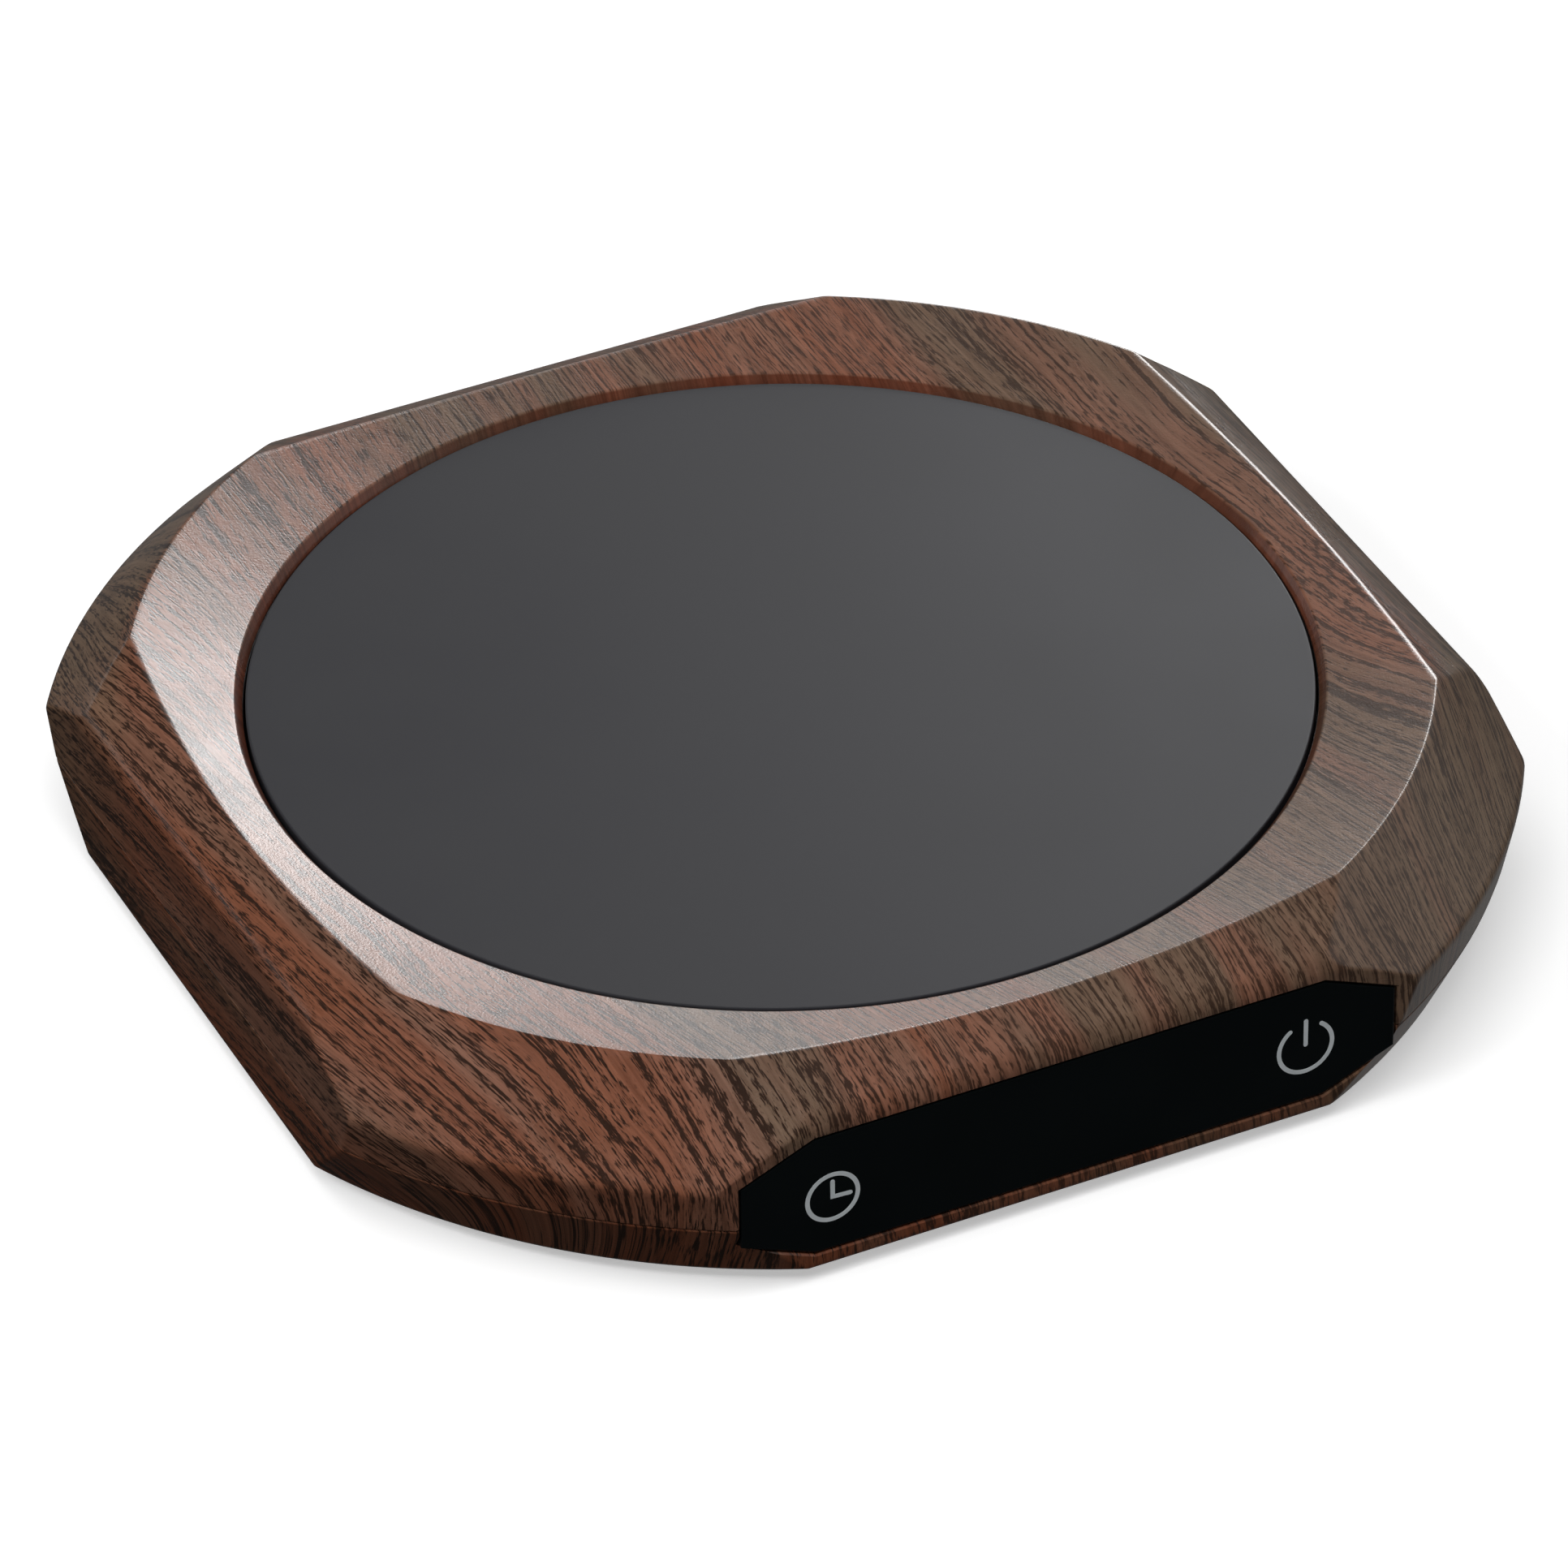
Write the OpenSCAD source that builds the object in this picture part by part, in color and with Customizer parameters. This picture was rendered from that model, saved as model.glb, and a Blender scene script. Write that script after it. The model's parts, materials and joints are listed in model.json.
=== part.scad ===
// Mug warmer: a faceted two-part housing with a round black glass heating plate,
// a smoked touch window in the front wall and a low-voltage power inlet in the back wall.
// +Z is up, the front wall faces -Y, and the origin is under the middle, where the feet stand.

/* [Heating plate] */
// Diameter of the glass plate
plate_d = 100; // [80:1:125]
// Thickness of the glass plate
glass_t = 3; // [2:0.1:5]
// Width of the dark ring between the glass and the rim
plate_gap = 0.6; // [0.5:0.05:1]
// How far the glass lies below the rim's inner lip
glass_drop = 0.45; // [0.2:0.05:1]

/* [Housing] */
// Width of the rim, from the glass to a flat side wall
rim_w = 10; // [8:0.5:14]
// How far the round corners reach past the flat walls, on the radius
corner_reach = 9.7; // [7.5:0.1:12]
// How far the rim's top edge reaches past the flat walls, on the radius
rim_reach = 1.2; // [0.5:0.1:2.5]
// Rise of the dished rim from its inner lip to its outer edge
dish_rise = 2.4; // [1.5:0.05:3.5]
// Depth of the widest ridge below the rim's top edge
ridge_drop = 8.7; // [7:0.1:10]
// Draft of the band under the ridge, on the radius
band_draft = 1; // [0.5:0.1:1.5]
// Height of the base cover's wall
base_h = 6.9; // [6:0.1:8]
// How far the corners of the base cover draw in to the bottom, on the radius
base_taper = 3.2; // [2:0.1:4.5]
// Depth of a side chamfer's lower edge below the rim's top edge
chamfer_drop = 4.35; // [3.5:0.05:5]
// Slope of the side chamfers from level
chamfer_angle = 32.6; // [28:0.1:38]
// Wall thickness of both mouldings
wall = 2.2; // [1.8:0.1:2.6]

/* [Edges] */
// Rounding where a chamfer meets its side wall
chamfer_round = 2; // [0.5:0.1:3]
// Rounding of the widest ridge
ridge_round = 0.8; // [0.3:0.1:1.5]
// Rounding of the rim's top edge
rim_round = 0.5; // [0.2:0.1:0.8]
// Rounding of the rim's inner lip
lip_round = 0.85; // [0.3:0.05:1.2]
// Rounding of the base cover's bottom edge
bottom_round = 0.4; // [0.2:0.1:0.8]
// Gap between the two mouldings at the parting line
parting_gap = 0.15; // [0.1:0.05:0.3]

/* [Heater stack] */
// Thickness of the aluminium heat spreader
spreader_t = 1; // [0.8:0.1:1.5]
// Thickness of each mica sheet
mica_t = 0.3; // [0.2:0.05:0.5]
// Thickness of the resistance track
track_t = 0.3; // [0.2:0.05:0.4]
// Thickness of the insulation pad
pad_t = 2.6; // [2:0.1:4]
// Sheet thickness of the clamp tray
tray_t = 0.8; // [0.6:0.1:1]

/* [Electronics] */
// Height of the standoffs under the control board
standoff_h = 1.2; // [1:0.1:2]
// Thickness of both circuit boards
board_t = 1.2; // [1:0.1:1.6]
// Free height over the control board
parts_h = 4.7; // [4.5:0.1:9]
// Width of the control board
board_w = 64; // [60:1:68]
// Depth of the control board, front to back
board_l = 46; // [44:1:50]

/* [Front window] */
// Width of the smoked window
window_w = 65.8; // [60:0.2:68]
// Height of the smoked window
window_h = 12.7; // [11.5:0.1:12.9]
// Length of each cut corner along the window
window_cut_x = 7.3; // [5:0.1:9]
// Height of each cut corner
window_cut_z = 3.1; // [2:0.1:4]
// Height of the window's lower edge above the base's underside
window_z = 1.7; // [1.5:0.1:2]
// Thickness of the window
window_t = 1.5; // [1.2:0.1:1.8]
// Gap round the window
window_gap = 0.2; // [0.1:0.05:0.3]
// Distance of each touch symbol from the middle
touch_x = 23.8; // [22:0.1:26]

/* [Power inlet] */
// Bore of the inlet's socket
socket_d = 5.8; // [5.6:0.1:6]
// Diameter of the inlet's centre pin
pin_d = 2; // [1.9:0.1:2.5]

/* [Feet and fasteners] */
// Diameter of a rubber foot
foot_d = 12; // [10:0.5:14]
// Height that a foot stands out
foot_h = 1.5; // [1:0.1:3]
// Diameter of a case screw's core
screw_d = 2.2; // [2:0.1:2.6]

/* [Hidden] */

$fn = 96;
walnut = "#6b4a3e";
walnut_dark = "#5a3e34";
eps = 0.01;
round_steps = 5;
far = 400;
quarters = [0:90:270];

// Levels, from the feet up
base_z = foot_h;
floor_top = base_z + wall;
parting_z = base_z + base_h;
board_z = floor_top + standoff_h;
board_top = board_z + board_t;
tray_z = board_top + parts_h;
pad_z = tray_z + tray_t;
mica_lower_z = pad_z + pad_t;
track_z = mica_lower_z + mica_t;
mica_upper_z = track_z + track_t;
spreader_z = mica_upper_z + mica_t;
glass_z = spreader_z + spreader_t;
glass_top = glass_z + glass_t;
lip_z = glass_top + glass_drop;
rim_z = lip_z + dish_rise;
ridge_z = rim_z - ridge_drop;

// Radii and half widths
plate_r = plate_d / 2;
lip_r = plate_r + plate_gap;
flat = plate_r + rim_w;
rim_r = flat + rim_reach;
ridge_r = flat + corner_reach;
parting_r = ridge_r - band_draft;
bottom_r = parting_r - base_taper;

// Glass seat
seal_t = 0.5;
ledge_z = glass_z - seal_t;
ledge_t = 1.4;
ledge_w = 3.5;
ledge_r = plate_r - ledge_w;
collar_r = lip_r + wall;
collar_z = ledge_z - ledge_t;
spreader_r = ledge_r - 2.5;
track_r = spreader_r - 2;
mica_r = spreader_r - 0.5;
pad_r = spreader_r - 1.5;
tray_r = spreader_r - 0.2;
tray_hole_d = 6;
tray_hole_at = tray_r * 0.6;
ear_w = 8;
strip_w = 2;
track_turns = 7;
track_gap = 3;
track_pitch = (track_r - 10) / (track_turns - 1);
sensor_d = 3.6;
sensor_flange_d = 7;
sensor_flange_t = 0.6;
sensor_bottom = tray_z - sensor_flange_t;
fuse_d = 2.2;
fuse_l = 9;
fuse_x = 16;
fuse_wire_d = 0.7;
fuse_wire_y = fuse_l / 2 - 0.6;

// Wires
lead_d = 0.9;
thin_lead_d = 0.7;
lead_rise = 0.6;
wire_bend = 0.2;
lead_x = track_gap + strip_w / 2;
lead_y = track_r + 0.2;

// Fasteners
clearance = 0.3;
screw_hole_d = screw_d + 0.8;
head_d = 5;
head_h = 1.8;
boss_d = 6.4;
boss_r = collar_r + 1 + boss_d / 2;
post_d = 8.4;
post_top = base_z + 5;
head_seat = base_z + 2.6;
case_screw_l = 9;
clamp_boss_d = 6;
clamp_boss_r = ledge_r + clamp_boss_d / 2;
clamp_screw_l = 4;
small_screw_d = 1.8;
small_core_d = small_screw_d - 0.1;
small_head_d = 3.8;
small_head_h = 1.4;
foot_r = boss_r - head_d / 2 - foot_d / 2 - 2;
foot_inset = 0.6;

// Lip of the base cover that locates the upper moulding
lip_t = 1.2;
lip_h = 1.8;
lip_back = wall + parting_gap + lip_t;

// Front window, as distances from the front wall's outer face
window_inset = 0.1;
window_back = window_inset + window_t;
tape_t = 0.2;
tongue_front = window_back + tape_t;
tongue_t = 1.8;
tongue_back = tongue_front + tongue_t;
tongue_half_w = window_w / 2 + 3;
tongue_z = floor_top + 0.4;
display_w = 26;
display_h = 8;
display_t = 3.6;
display_front = window_back + 0.1;
touch_board_y = display_front + display_t;
touch_board_w = 58;
touch_board_h = 9;
window_mid_z = base_z + window_z + window_h / 2;
touch_board_z = window_mid_z - touch_board_h / 2;
touch_pad_d = 6;
touch_post_x = 17;
touch_post_d = 4;

// Inlet, as heights above the control board and distances from the back wall's outer face
inlet_w = 9;
inlet_h = 7.8;
inlet_l = 11;
nose_d = 8;
nose_inset = 0.3;
nose_gap = 0.2;
inlet_z = board_top + inlet_h / 2;
inlet_front = flat - wall - 0.2;
nose_front = flat - nose_inset;
lead_in_d = socket_d + 0.6;
lead_in_l = 1.6;
socket_l = 9.5;
pin_recess = 1.8;

// Control board
board_back = flat - wall - 2.3;
board_front = board_back - board_l;
board_corner = 6;
standoff_d = 5;
standoff_x = board_w / 2 - 5;
standoff_y = [board_front + 5, board_back - 9];
standoff_bore_z = base_z + 1.2;
chip_size = [12, 7, 2.2];
chip_lift = 0.15;
chip_x = -14;
chip_y = board_front + 12;
fet_x = standoff_x - 18;
fet_y = board_front + 28;
coil_x = standoff_x - 9;
coil_y = board_front + 15;
coil_w = 9;
coil_h = 4;
cap_x = [-20, -12];
cap_y = board_front + 31;
cap_w = 6.6;
cap_h = 4.2;
buzzer_x = standoff_x - 3;
buzzer_y = board_front + 25;
buzzer_d = 8.4;
buzzer_h = 3.6;
socket_x = [5 - standoff_x, -8, 6];
socket_y = board_front + 4;
socket_w = 4;
socket_wall = 0.5;
socket_ways = [2, 3, 5];
plug_pitch = 1.5;
plug_socket_h = 2.4;
plug_top = board_top + plug_socket_h + 0.6;

// ---- Outlines ----

function unit(v) = v / norm(v);
function left_of(v) = [-v[1], v[0]];
function moved_corner(a, b, c, d) =
    let (m = left_of(unit(b - a)), n = left_of(unit(c - b)))
    b + d * (m + n) / (1 + m * n);
// An outline, drawn anticlockwise, with every side moved in by d
function inset(p, d) =
    [for (i = [0:len(p) - 1]) moved_corner(p[(i + len(p) - 1) % len(p)], p[i], p[(i + 1) % len(p)], d)];
function mirrored(p) = [for (i = [len(p) - 1:-1:0]) [-p[i][0], p[i][1]]];
function both_sides(p) = concat(p, mirrored(p));
function both_sides_radii(r) = concat(r, [for (i = [len(r) - 1:-1:0]) r[i]]);

// Corner section: two cones back to back, with the dished rim on top
corner_section = [
    [bottom_r, base_z],
    [parting_r, parting_z],
    [ridge_r, ridge_z],
    [rim_r, rim_z],
    [lip_r, lip_z]
];
// Section across two flat walls and their chamfers
chamfer_z = rim_z - chamfer_drop;
peak = 6;
flat_section = [
    [flat, base_z],
    [flat, chamfer_z],
    [flat - (chamfer_drop + peak) / tan(chamfer_angle), rim_z + peak]
];

// Points of the arc of radius r that rounds the corner b between a and c
function corner_arc(a, b, c, r) =
    let (
        u = unit(a - b),
        v = unit(c - b),
        half = acos(u * v) / 2,
        centre = b + unit(u + v) * r / sin(half),
        first = b + u * r / tan(half) - centre,
        start = atan2(first[1], first[0])
    )
    [for (k = [0:round_steps]) centre + r * direction(start + (180 - 2 * half) * k / round_steps)];
function direction(angle) = [cos(angle), sin(angle)];
// An outline with each corner rounded by its own radius, or left sharp where that is 0
function rounded(p, radii) =
    [for (i = [0:len(p) - 1])
        each radii[i] > 0
            ? corner_arc(p[(i + len(p) - 1) % len(p)], p[i], p[(i + 1) % len(p)], radii[i])
            : [p[i]]];

module right_half() {
    intersection() {
        children();
        translate([0, -far / 2]) square([far, far]);
    }
}

// A corner outline turned round the middle
module corner_form(p) {
    rotate_extrude() right_half() polygon(p);
}

// A wall outline drawn out along Y
module flat_form(p) {
    rotate([90, 0, 0]) linear_extrude(height = far, center = true) polygon(p);
}

module crossed(corner_outline, wall_outline) {
    intersection() {
        corner_form(corner_outline);
        flat_form(wall_outline);
        rotate([0, 0, 90]) flat_form(wall_outline);
    }
}

// The whole outer shape, with its edges rounded
module outer_form() {
    crossed(
        rounded(both_sides(corner_section), both_sides_radii([bottom_round, 0, ridge_round, rim_round, 0])),
        rounded(both_sides(flat_section), both_sides_radii([0, chamfer_round, 0]))
    );
}

// The outer shape with every face moved in by d
module inner_form(d) {
    crossed(inset(both_sides(corner_section), d), inset(both_sides(flat_section), d));
}

module slab(z0, z1) {
    translate([-far / 2, -far / 2, z0]) cube([far, far, z1 - z0]);
}

module ring(r_in, r_out, z0, z1) {
    translate([0, 0, z0])
        difference() {
            cylinder(r = r_out, h = z1 - z0);
            translate([0, 0, -1]) cylinder(r = r_in, h = z1 - z0 + 2);
        }
}

module disc(r, z0, h) {
    translate([0, 0, z0]) cylinder(r = r, h = h);
}

// Repeats a piece on the four diagonals, r from the middle
module on_diagonals(r) {
    for (a = quarters) rotate([0, 0, a + 45]) translate([r, 0, 0]) children();
}

// A block from lowest corner to highest corner
module block(low, high) {
    translate(low) cube(high - low);
}

// The window's outline, grown by g, as a plate that reaches from y0 to y1
module window_plate(g, y0, y1) {
    w = window_w / 2;
    h = window_h / 2;
    p = [
        [w, h - window_cut_z],
        [w - window_cut_x, h],
        [window_cut_x - w, h],
        [-w, h - window_cut_z],
        [-w, window_cut_z - h],
        [window_cut_x - w, -h],
        [w - window_cut_x, -h],
        [w, window_cut_z - h]
    ];
    translate([0, y1, window_mid_z])
        rotate([90, 0, 0])
            linear_extrude(height = y1 - y0)
                polygon(inset(p, -g));
}

// Pan-head screw that stands on its head, with a cross recess
module screw(core_d, length, top_d, top_h) {
    slot_w = top_d * 0.16;
    slot_l = top_d * 0.6;
    slot_h = top_h * 0.55;
    difference() {
        rotate_extrude()
            polygon([
                [0, 0],
                [top_d * 0.3, 0],
                [top_d * 0.45, top_h * 0.3],
                [top_d * 0.5, top_h * 0.7],
                [top_d * 0.5, top_h],
                [core_d / 2, top_h],
                [core_d / 2, top_h + length - core_d / 2],
                [0, top_h + length]
            ]);
        for (a = [0, 90])
            rotate([0, 0, a])
                translate([-slot_l / 2, -slot_w / 2, -1])
                    cube([slot_l, slot_w, slot_h + 1]);
    }
}

// Round wire along a list of points
module wire(p, d) {
    for (i = [0:len(p) - 2]) {
        run = p[i + 1] - p[i];
        translate(p[i])
            rotate([0, acos(run[2] / norm(run)), atan2(run[1], run[0])])
                cylinder(d = d, h = norm(run), $fn = 16);
        if (i > 0) translate(p[i]) sphere(d = d + wire_bend, $fn = 16);
    }
}

// ---- Housing ----

// Upper moulding: dished rim, chamfered walls, the glass seat and the screw bosses
module top_shell() {
    color(walnut)
        difference() {
            union() {
                difference() {
                    intersection() {
                        outer_form();
                        slab(parting_z + parting_gap, rim_z + 1);
                    }
                    inner_form(wall);
                }
                ring(ledge_r, collar_r, collar_z, lip_z);
                top_shell_bosses();
                window_tongue();
            }
            glass_seat();
            on_diagonals(boss_r) disc(screw_d / 2, post_top - 1, case_screw_l - 1);
            on_diagonals(clamp_boss_r) disc(small_screw_d / 2, pad_z - 1, clamp_screw_l);
            window_plate(window_gap, -flat - 1, -flat + tongue_front);
            window_openings();
            inlet_hole();
        }
}

// Recess of the glass, from the ledge up, with a rounded lip
module glass_seat() {
    arc = corner_arc([rim_r, rim_z], [lip_r, lip_z], [lip_r, ledge_z], lip_round);
    mouth = arc[0] + [0, eps];
    rotate_extrude()
        polygon(concat(
            [[0, ledge_z], [lip_r, ledge_z]],
            [for (i = [round_steps:-1:1]) arc[i]],
            [mouth, [mouth[0], rim_z], [0, rim_z]]
        ));
}

module top_shell_bosses() {
    intersection() {
        inner_form(wall / 2);
        union() {
            on_diagonals(boss_r) disc(boss_d / 2, post_top + parting_gap, rim_z - post_top);
            on_diagonals(0)
                block([lip_r + wall / 2, -0.6, collar_z], [boss_r, 0.6, rim_z]);
        }
    }
    on_diagonals(clamp_boss_r) disc(clamp_boss_d / 2, pad_z, ledge_z - pad_z);
}

// Repeats a piece that points back, g behind the front wall's face and x either side
module behind_window(x, g) {
    for (side = [-x, x]) translate([side, -flat + g, window_mid_z]) rotate([90, 0, 0]) children();
}

// Panel of the upper moulding that reaches down behind the window, with two posts for the touch board
module window_tongue() {
    top = window_mid_z + window_h / 2 + 0.6;
    intersection() {
        block([-tongue_half_w, -flat + tongue_front, tongue_z], [tongue_half_w, -flat + tongue_back, top]);
        corner_form(inset(both_sides(corner_section), wall + clearance));
    }
    behind_window(touch_post_x, touch_board_y)
        cylinder(d = touch_post_d, h = touch_board_y - tongue_front - 0.5);
}

// Openings behind the window for the display and the touch pads, and the posts' screw holes
module window_openings() {
    block(
        [-display_w / 2 - clearance, -flat, window_mid_z - display_h / 2 - clearance],
        [display_w / 2 + clearance, -flat + touch_board_y, window_mid_z + display_h / 2 + clearance]
    );
    behind_window(touch_x, touch_board_y) cylinder(d = touch_pad_d + 1, h = touch_board_y);
    behind_window(touch_post_x, touch_board_y + 1)
        cylinder(d = small_screw_d, h = touch_board_y - tongue_front + 0.3);
}

// Round hole for the inlet's nose, half in each moulding
module inlet_hole() {
    translate([0, flat + 1, inlet_z])
        rotate([90, 0, 0])
            cylinder(d = nose_d + 2 * nose_gap, h = wall + 2);
}

// Lower moulding: floor, drawn-in walls, a locating lip, screw posts and standoffs
module base_cover() {
    color(walnut_dark)
        difference() {
            union() {
                difference() {
                    intersection() {
                        outer_form();
                        slab(base_z, parting_z);
                    }
                    inner_form(wall);
                }
                difference() {
                    intersection() {
                        inner_form(wall - 0.3);
                        slab(parting_z - 2, parting_z - eps);
                    }
                    inner_form(lip_back);
                }
                difference() {
                    intersection() {
                        inner_form(wall + parting_gap);
                        slab(parting_z - 1, parting_z + lip_h);
                    }
                    inner_form(lip_back);
                    block(
                        [-tongue_half_w - clearance, -flat, base_z],
                        [tongue_half_w + clearance, -flat / 2, rim_z]
                    );
                }
                on_diagonals(boss_r) disc(post_d / 2, base_z, post_top - base_z);
                standoff_places() disc(standoff_d / 2, base_z + 1, board_z - base_z - 1);
            }
            on_diagonals(boss_r) {
                disc(screw_hole_d / 2, base_z - 1, post_top);
                disc(head_d / 2 + 0.5, base_z - 1, head_seat - base_z + 1);
            }
            on_diagonals(foot_r) disc(foot_d / 2 + 0.1, base_z - 1, foot_inset + 1);
            standoff_places() disc(small_screw_d / 2, standoff_bore_z, board_z);
            window_plate(window_gap, -flat - 1, -flat + tongue_front);
            intersection() {
                block(
                    [-tongue_half_w - clearance, -flat + tongue_front - clearance / 2, floor_top],
                    [tongue_half_w + clearance, -flat + max(tongue_back, lip_back) + clearance, rim_z]
                );
                corner_form(inset(both_sides(corner_section), wall));
            }
            inlet_hole();
            block(
                [-inlet_w / 2 - clearance, inlet_front - inlet_l, board_top - clearance],
                [inlet_w / 2 + clearance, inlet_front + eps, rim_z]
            );
        }
}

// ---- Plate and heater ----

// Black glass disc with ground edges
module glass_plate() {
    edge = 0.4;
    color("#3a3a3e")
        translate([0, 0, glass_z])
            rotate_extrude()
                polygon([
                    [0, 0],
                    [plate_r - edge, 0],
                    [plate_r, edge],
                    [plate_r, glass_t - edge],
                    [plate_r - edge, glass_t],
                    [0, glass_t]
                ]);
}

// Silicone ring: flat under the glass, with a thin upstand round its edge
module plate_seal() {
    upstand = plate_gap - 0.2;
    color("#141414")
        translate([0, 0, ledge_z])
            rotate_extrude()
                polygon([
                    [ledge_r + 0.3, 0],
                    [lip_r - 0.05, 0],
                    [lip_r - 0.05, seal_t + glass_t - 0.7],
                    [lip_r - upstand, seal_t + glass_t - 0.7],
                    [lip_r - upstand, seal_t],
                    [ledge_r + 0.3, seal_t]
                ]);
}

module heat_spreader() {
    color("silver") disc(spreader_r, spreader_z, spreader_t);
}

// Hole that lets the sensor reach the spreader
module sensor_hole() {
    disc(sensor_d / 2 + clearance, tray_z - 1, glass_z - tray_z);
}

module mica_sheet_upper() {
    color("#c9b28a")
        difference() {
            disc(mica_r, mica_upper_z, mica_t);
            sensor_hole();
        }
}

module mica_sheet_lower() {
    color("#c9b28a")
        difference() {
            disc(mica_r, mica_lower_z, mica_t);
            sensor_hole();
            for (x = [-lead_x, lead_x])
                translate([x, lead_y, 0]) disc(lead_d / 2 + clearance, mica_lower_z - 1, mica_t + 2);
        }
}

// Resistance track: a strip that runs to and fro in half rings down both sides of the plate
module heating_track() {
    color("#b5a642")
        translate([0, 0, track_z])
            linear_extrude(height = track_t) {
                for (i = [0:track_turns - 1]) track_ring(i);
                for (i = [0:track_turns - 2], side = [-1, 1])
                    track_strip(side, i % 2 == 0 ? -1 : 1, track_mid_y(i + 1), track_mid_y(i));
                for (side = [-1, 1]) track_strip(side, 1, track_mid_y(0), lead_y + lead_d);
            }
}

function track_ring_r(i) = track_r - i * track_pitch;
// Where the middle of ring number i passes the ends of the strips
function track_mid_y(i) = sqrt(pow(track_ring_r(i) - strip_w / 2, 2) - pow(lead_x, 2));

// Ring number i, open at the back, and in front too unless it is the innermost
module track_ring(i) {
    r = track_ring_r(i);
    front = i == track_turns - 1 ? 0 : far;
    difference() {
        circle(r);
        circle(r - strip_w);
        translate([-track_gap, -front]) square([2 * track_gap, front + far]);
    }
}

// Straight strip beside a gap, from y0 to y1 at the back (way 1) or in front (way -1)
module track_strip(side, way, y0, y1) {
    translate([side * lead_x - strip_w / 2, way > 0 ? y0 : -y1]) square([strip_w, y1 - y0]);
}

module insulation_pad() {
    color("#d9d4c8")
        difference() {
            disc(pad_r, pad_z, pad_t);
            sensor_hole();
            block(
                [fuse_x - fuse_d / 2 - clearance, -fuse_l / 2 - clearance, tray_z],
                [fuse_x + fuse_d / 2 + clearance, fuse_l / 2 + clearance, track_z]
            );
            lead_notch();
        }
}

// Notch for the two heater leads
module lead_notch() {
    half_w = lead_x + lead_d;
    block([-half_w, lead_y - lead_d, tray_z - 1], [half_w, ledge_r, track_z]);
}

// Steel tray that presses the stack against the glass
module clamp_tray() {
    rim_top = mica_lower_z - 0.5;
    ear_l = clamp_boss_r + clamp_boss_d / 2;
    color("lightgrey")
        difference() {
            union() {
                disc(tray_r, tray_z, tray_t);
                ring(pad_r + 0.4, tray_r, tray_z + eps, rim_top);
                for (a = [45, 135])
                    rotate([0, 0, a])
                        block([-ear_l, -ear_w / 2, tray_z + eps], [ear_l, ear_w / 2, pad_z - eps]);
            }
            sensor_hole();
            for (s = [-1, 1])
                translate([fuse_x, s * fuse_wire_y, 0])
                    disc(fuse_wire_d / 2 + clearance, tray_z - 1, tray_t + 2);
            lead_notch();
            for (a = quarters)
                rotate([0, 0, a])
                    translate([tray_hole_at, 0, 0]) disc(tray_hole_d / 2, tray_z - 1, tray_t + 2);
            on_diagonals(clamp_boss_r) disc(small_screw_d / 2 + clearance, tray_z - 1, tray_t + 2);
        }
}

module clamp_screws() {
    color("silver")
        on_diagonals(clamp_boss_r)
            translate([0, 0, tray_z - small_head_h])
                screw(small_core_d, clamp_screw_l - 0.6, small_head_d, small_head_h);
}

// Sensor cup that touches the spreader in the middle, with a flange under the tray
module temperature_sensor() {
    color("#2f6b4f")
        union() {
            disc(sensor_d / 2, tray_z - eps, spreader_z - tray_z);
            disc(sensor_flange_d / 2, sensor_bottom, sensor_flange_t);
        }
}

// Thermal cut-out in the pad's slot, with its two leads
module thermal_fuse() {
    fuse_z = mica_lower_z - fuse_d / 2;
    color("#e8e4d8")
        translate([fuse_x, -fuse_l / 2, fuse_z])
            rotate([-90, 0, 0]) cylinder(d = fuse_d, h = fuse_l, $fn = 32);
    color("silver")
        for (s = [-1, 1])
            wire([[fuse_x, s * fuse_wire_y, fuse_z], [fuse_x, s * fuse_wire_y, tray_z - 1]], fuse_wire_d);
}

// ---- Control board ----

module standoff_places() {
    for (x = [-standoff_x, standoff_x], y = standoff_y) translate([x, y, 0]) children();
}

module control_board() {
    w = board_w / 2;
    c = board_corner;
    color("#1f5c3a")
        difference() {
            translate([0, 0, board_z])
                linear_extrude(height = board_t)
                    polygon([
                        [-w + c, board_back],
                        [-w, board_back - c],
                        [-w, board_front + c],
                        [-w + c, board_front],
                        [w - c, board_front],
                        [w, board_front + c],
                        [w, board_back - c],
                        [w - c, board_back]
                    ]);
            standoff_places() disc(small_screw_d / 2 + clearance, board_z - 1, board_t + 2);
        }
}

module board_screws() {
    color("silver")
        standoff_places()
            translate([0, 0, board_top + small_head_h])
                mirror([0, 0, 1])
                    screw(small_core_d, board_t + standoff_h + 0.9, small_head_d, small_head_h);
}

// Chip package with a row of legs along two sides
module controller_chip() {
    leg_w = 0.45;
    leg_out = 1.1;
    leg_in = 0.4;
    leg_h = 0.9;
    legs = 9;
    pitch = chip_size[0] / legs;
    color("#222222") {
        block([chip_x, chip_y, board_top + chip_lift], [chip_x, chip_y, board_top] + chip_size);
        for (i = [0:legs - 1], y = [chip_y - leg_out, chip_y + chip_size[1] - leg_in])
            translate([chip_x + pitch * (i + 0.5) - leg_w / 2, y, board_top])
                cube([leg_w, leg_out + leg_in, leg_h]);
    }
}

// Transistor that switches the heater, with its cooling tab and two legs
module power_transistor() {
    body = [6.5, 6, 2.3];
    tab = [7.5, 2, 0.6];
    leg = [1.2, 3, 0.8];
    color("#222222") translate([fet_x, fet_y, board_top]) cube(body);
    color("silver") {
        translate([fet_x + (body[0] - tab[0]) / 2, fet_y - tab[1] + 0.5, board_top]) cube(tab);
        for (x = [0.4, body[0] - leg[0] - 0.4])
            translate([fet_x + x, fet_y + body[1] - 0.5, board_top]) cube(leg);
    }
}

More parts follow.
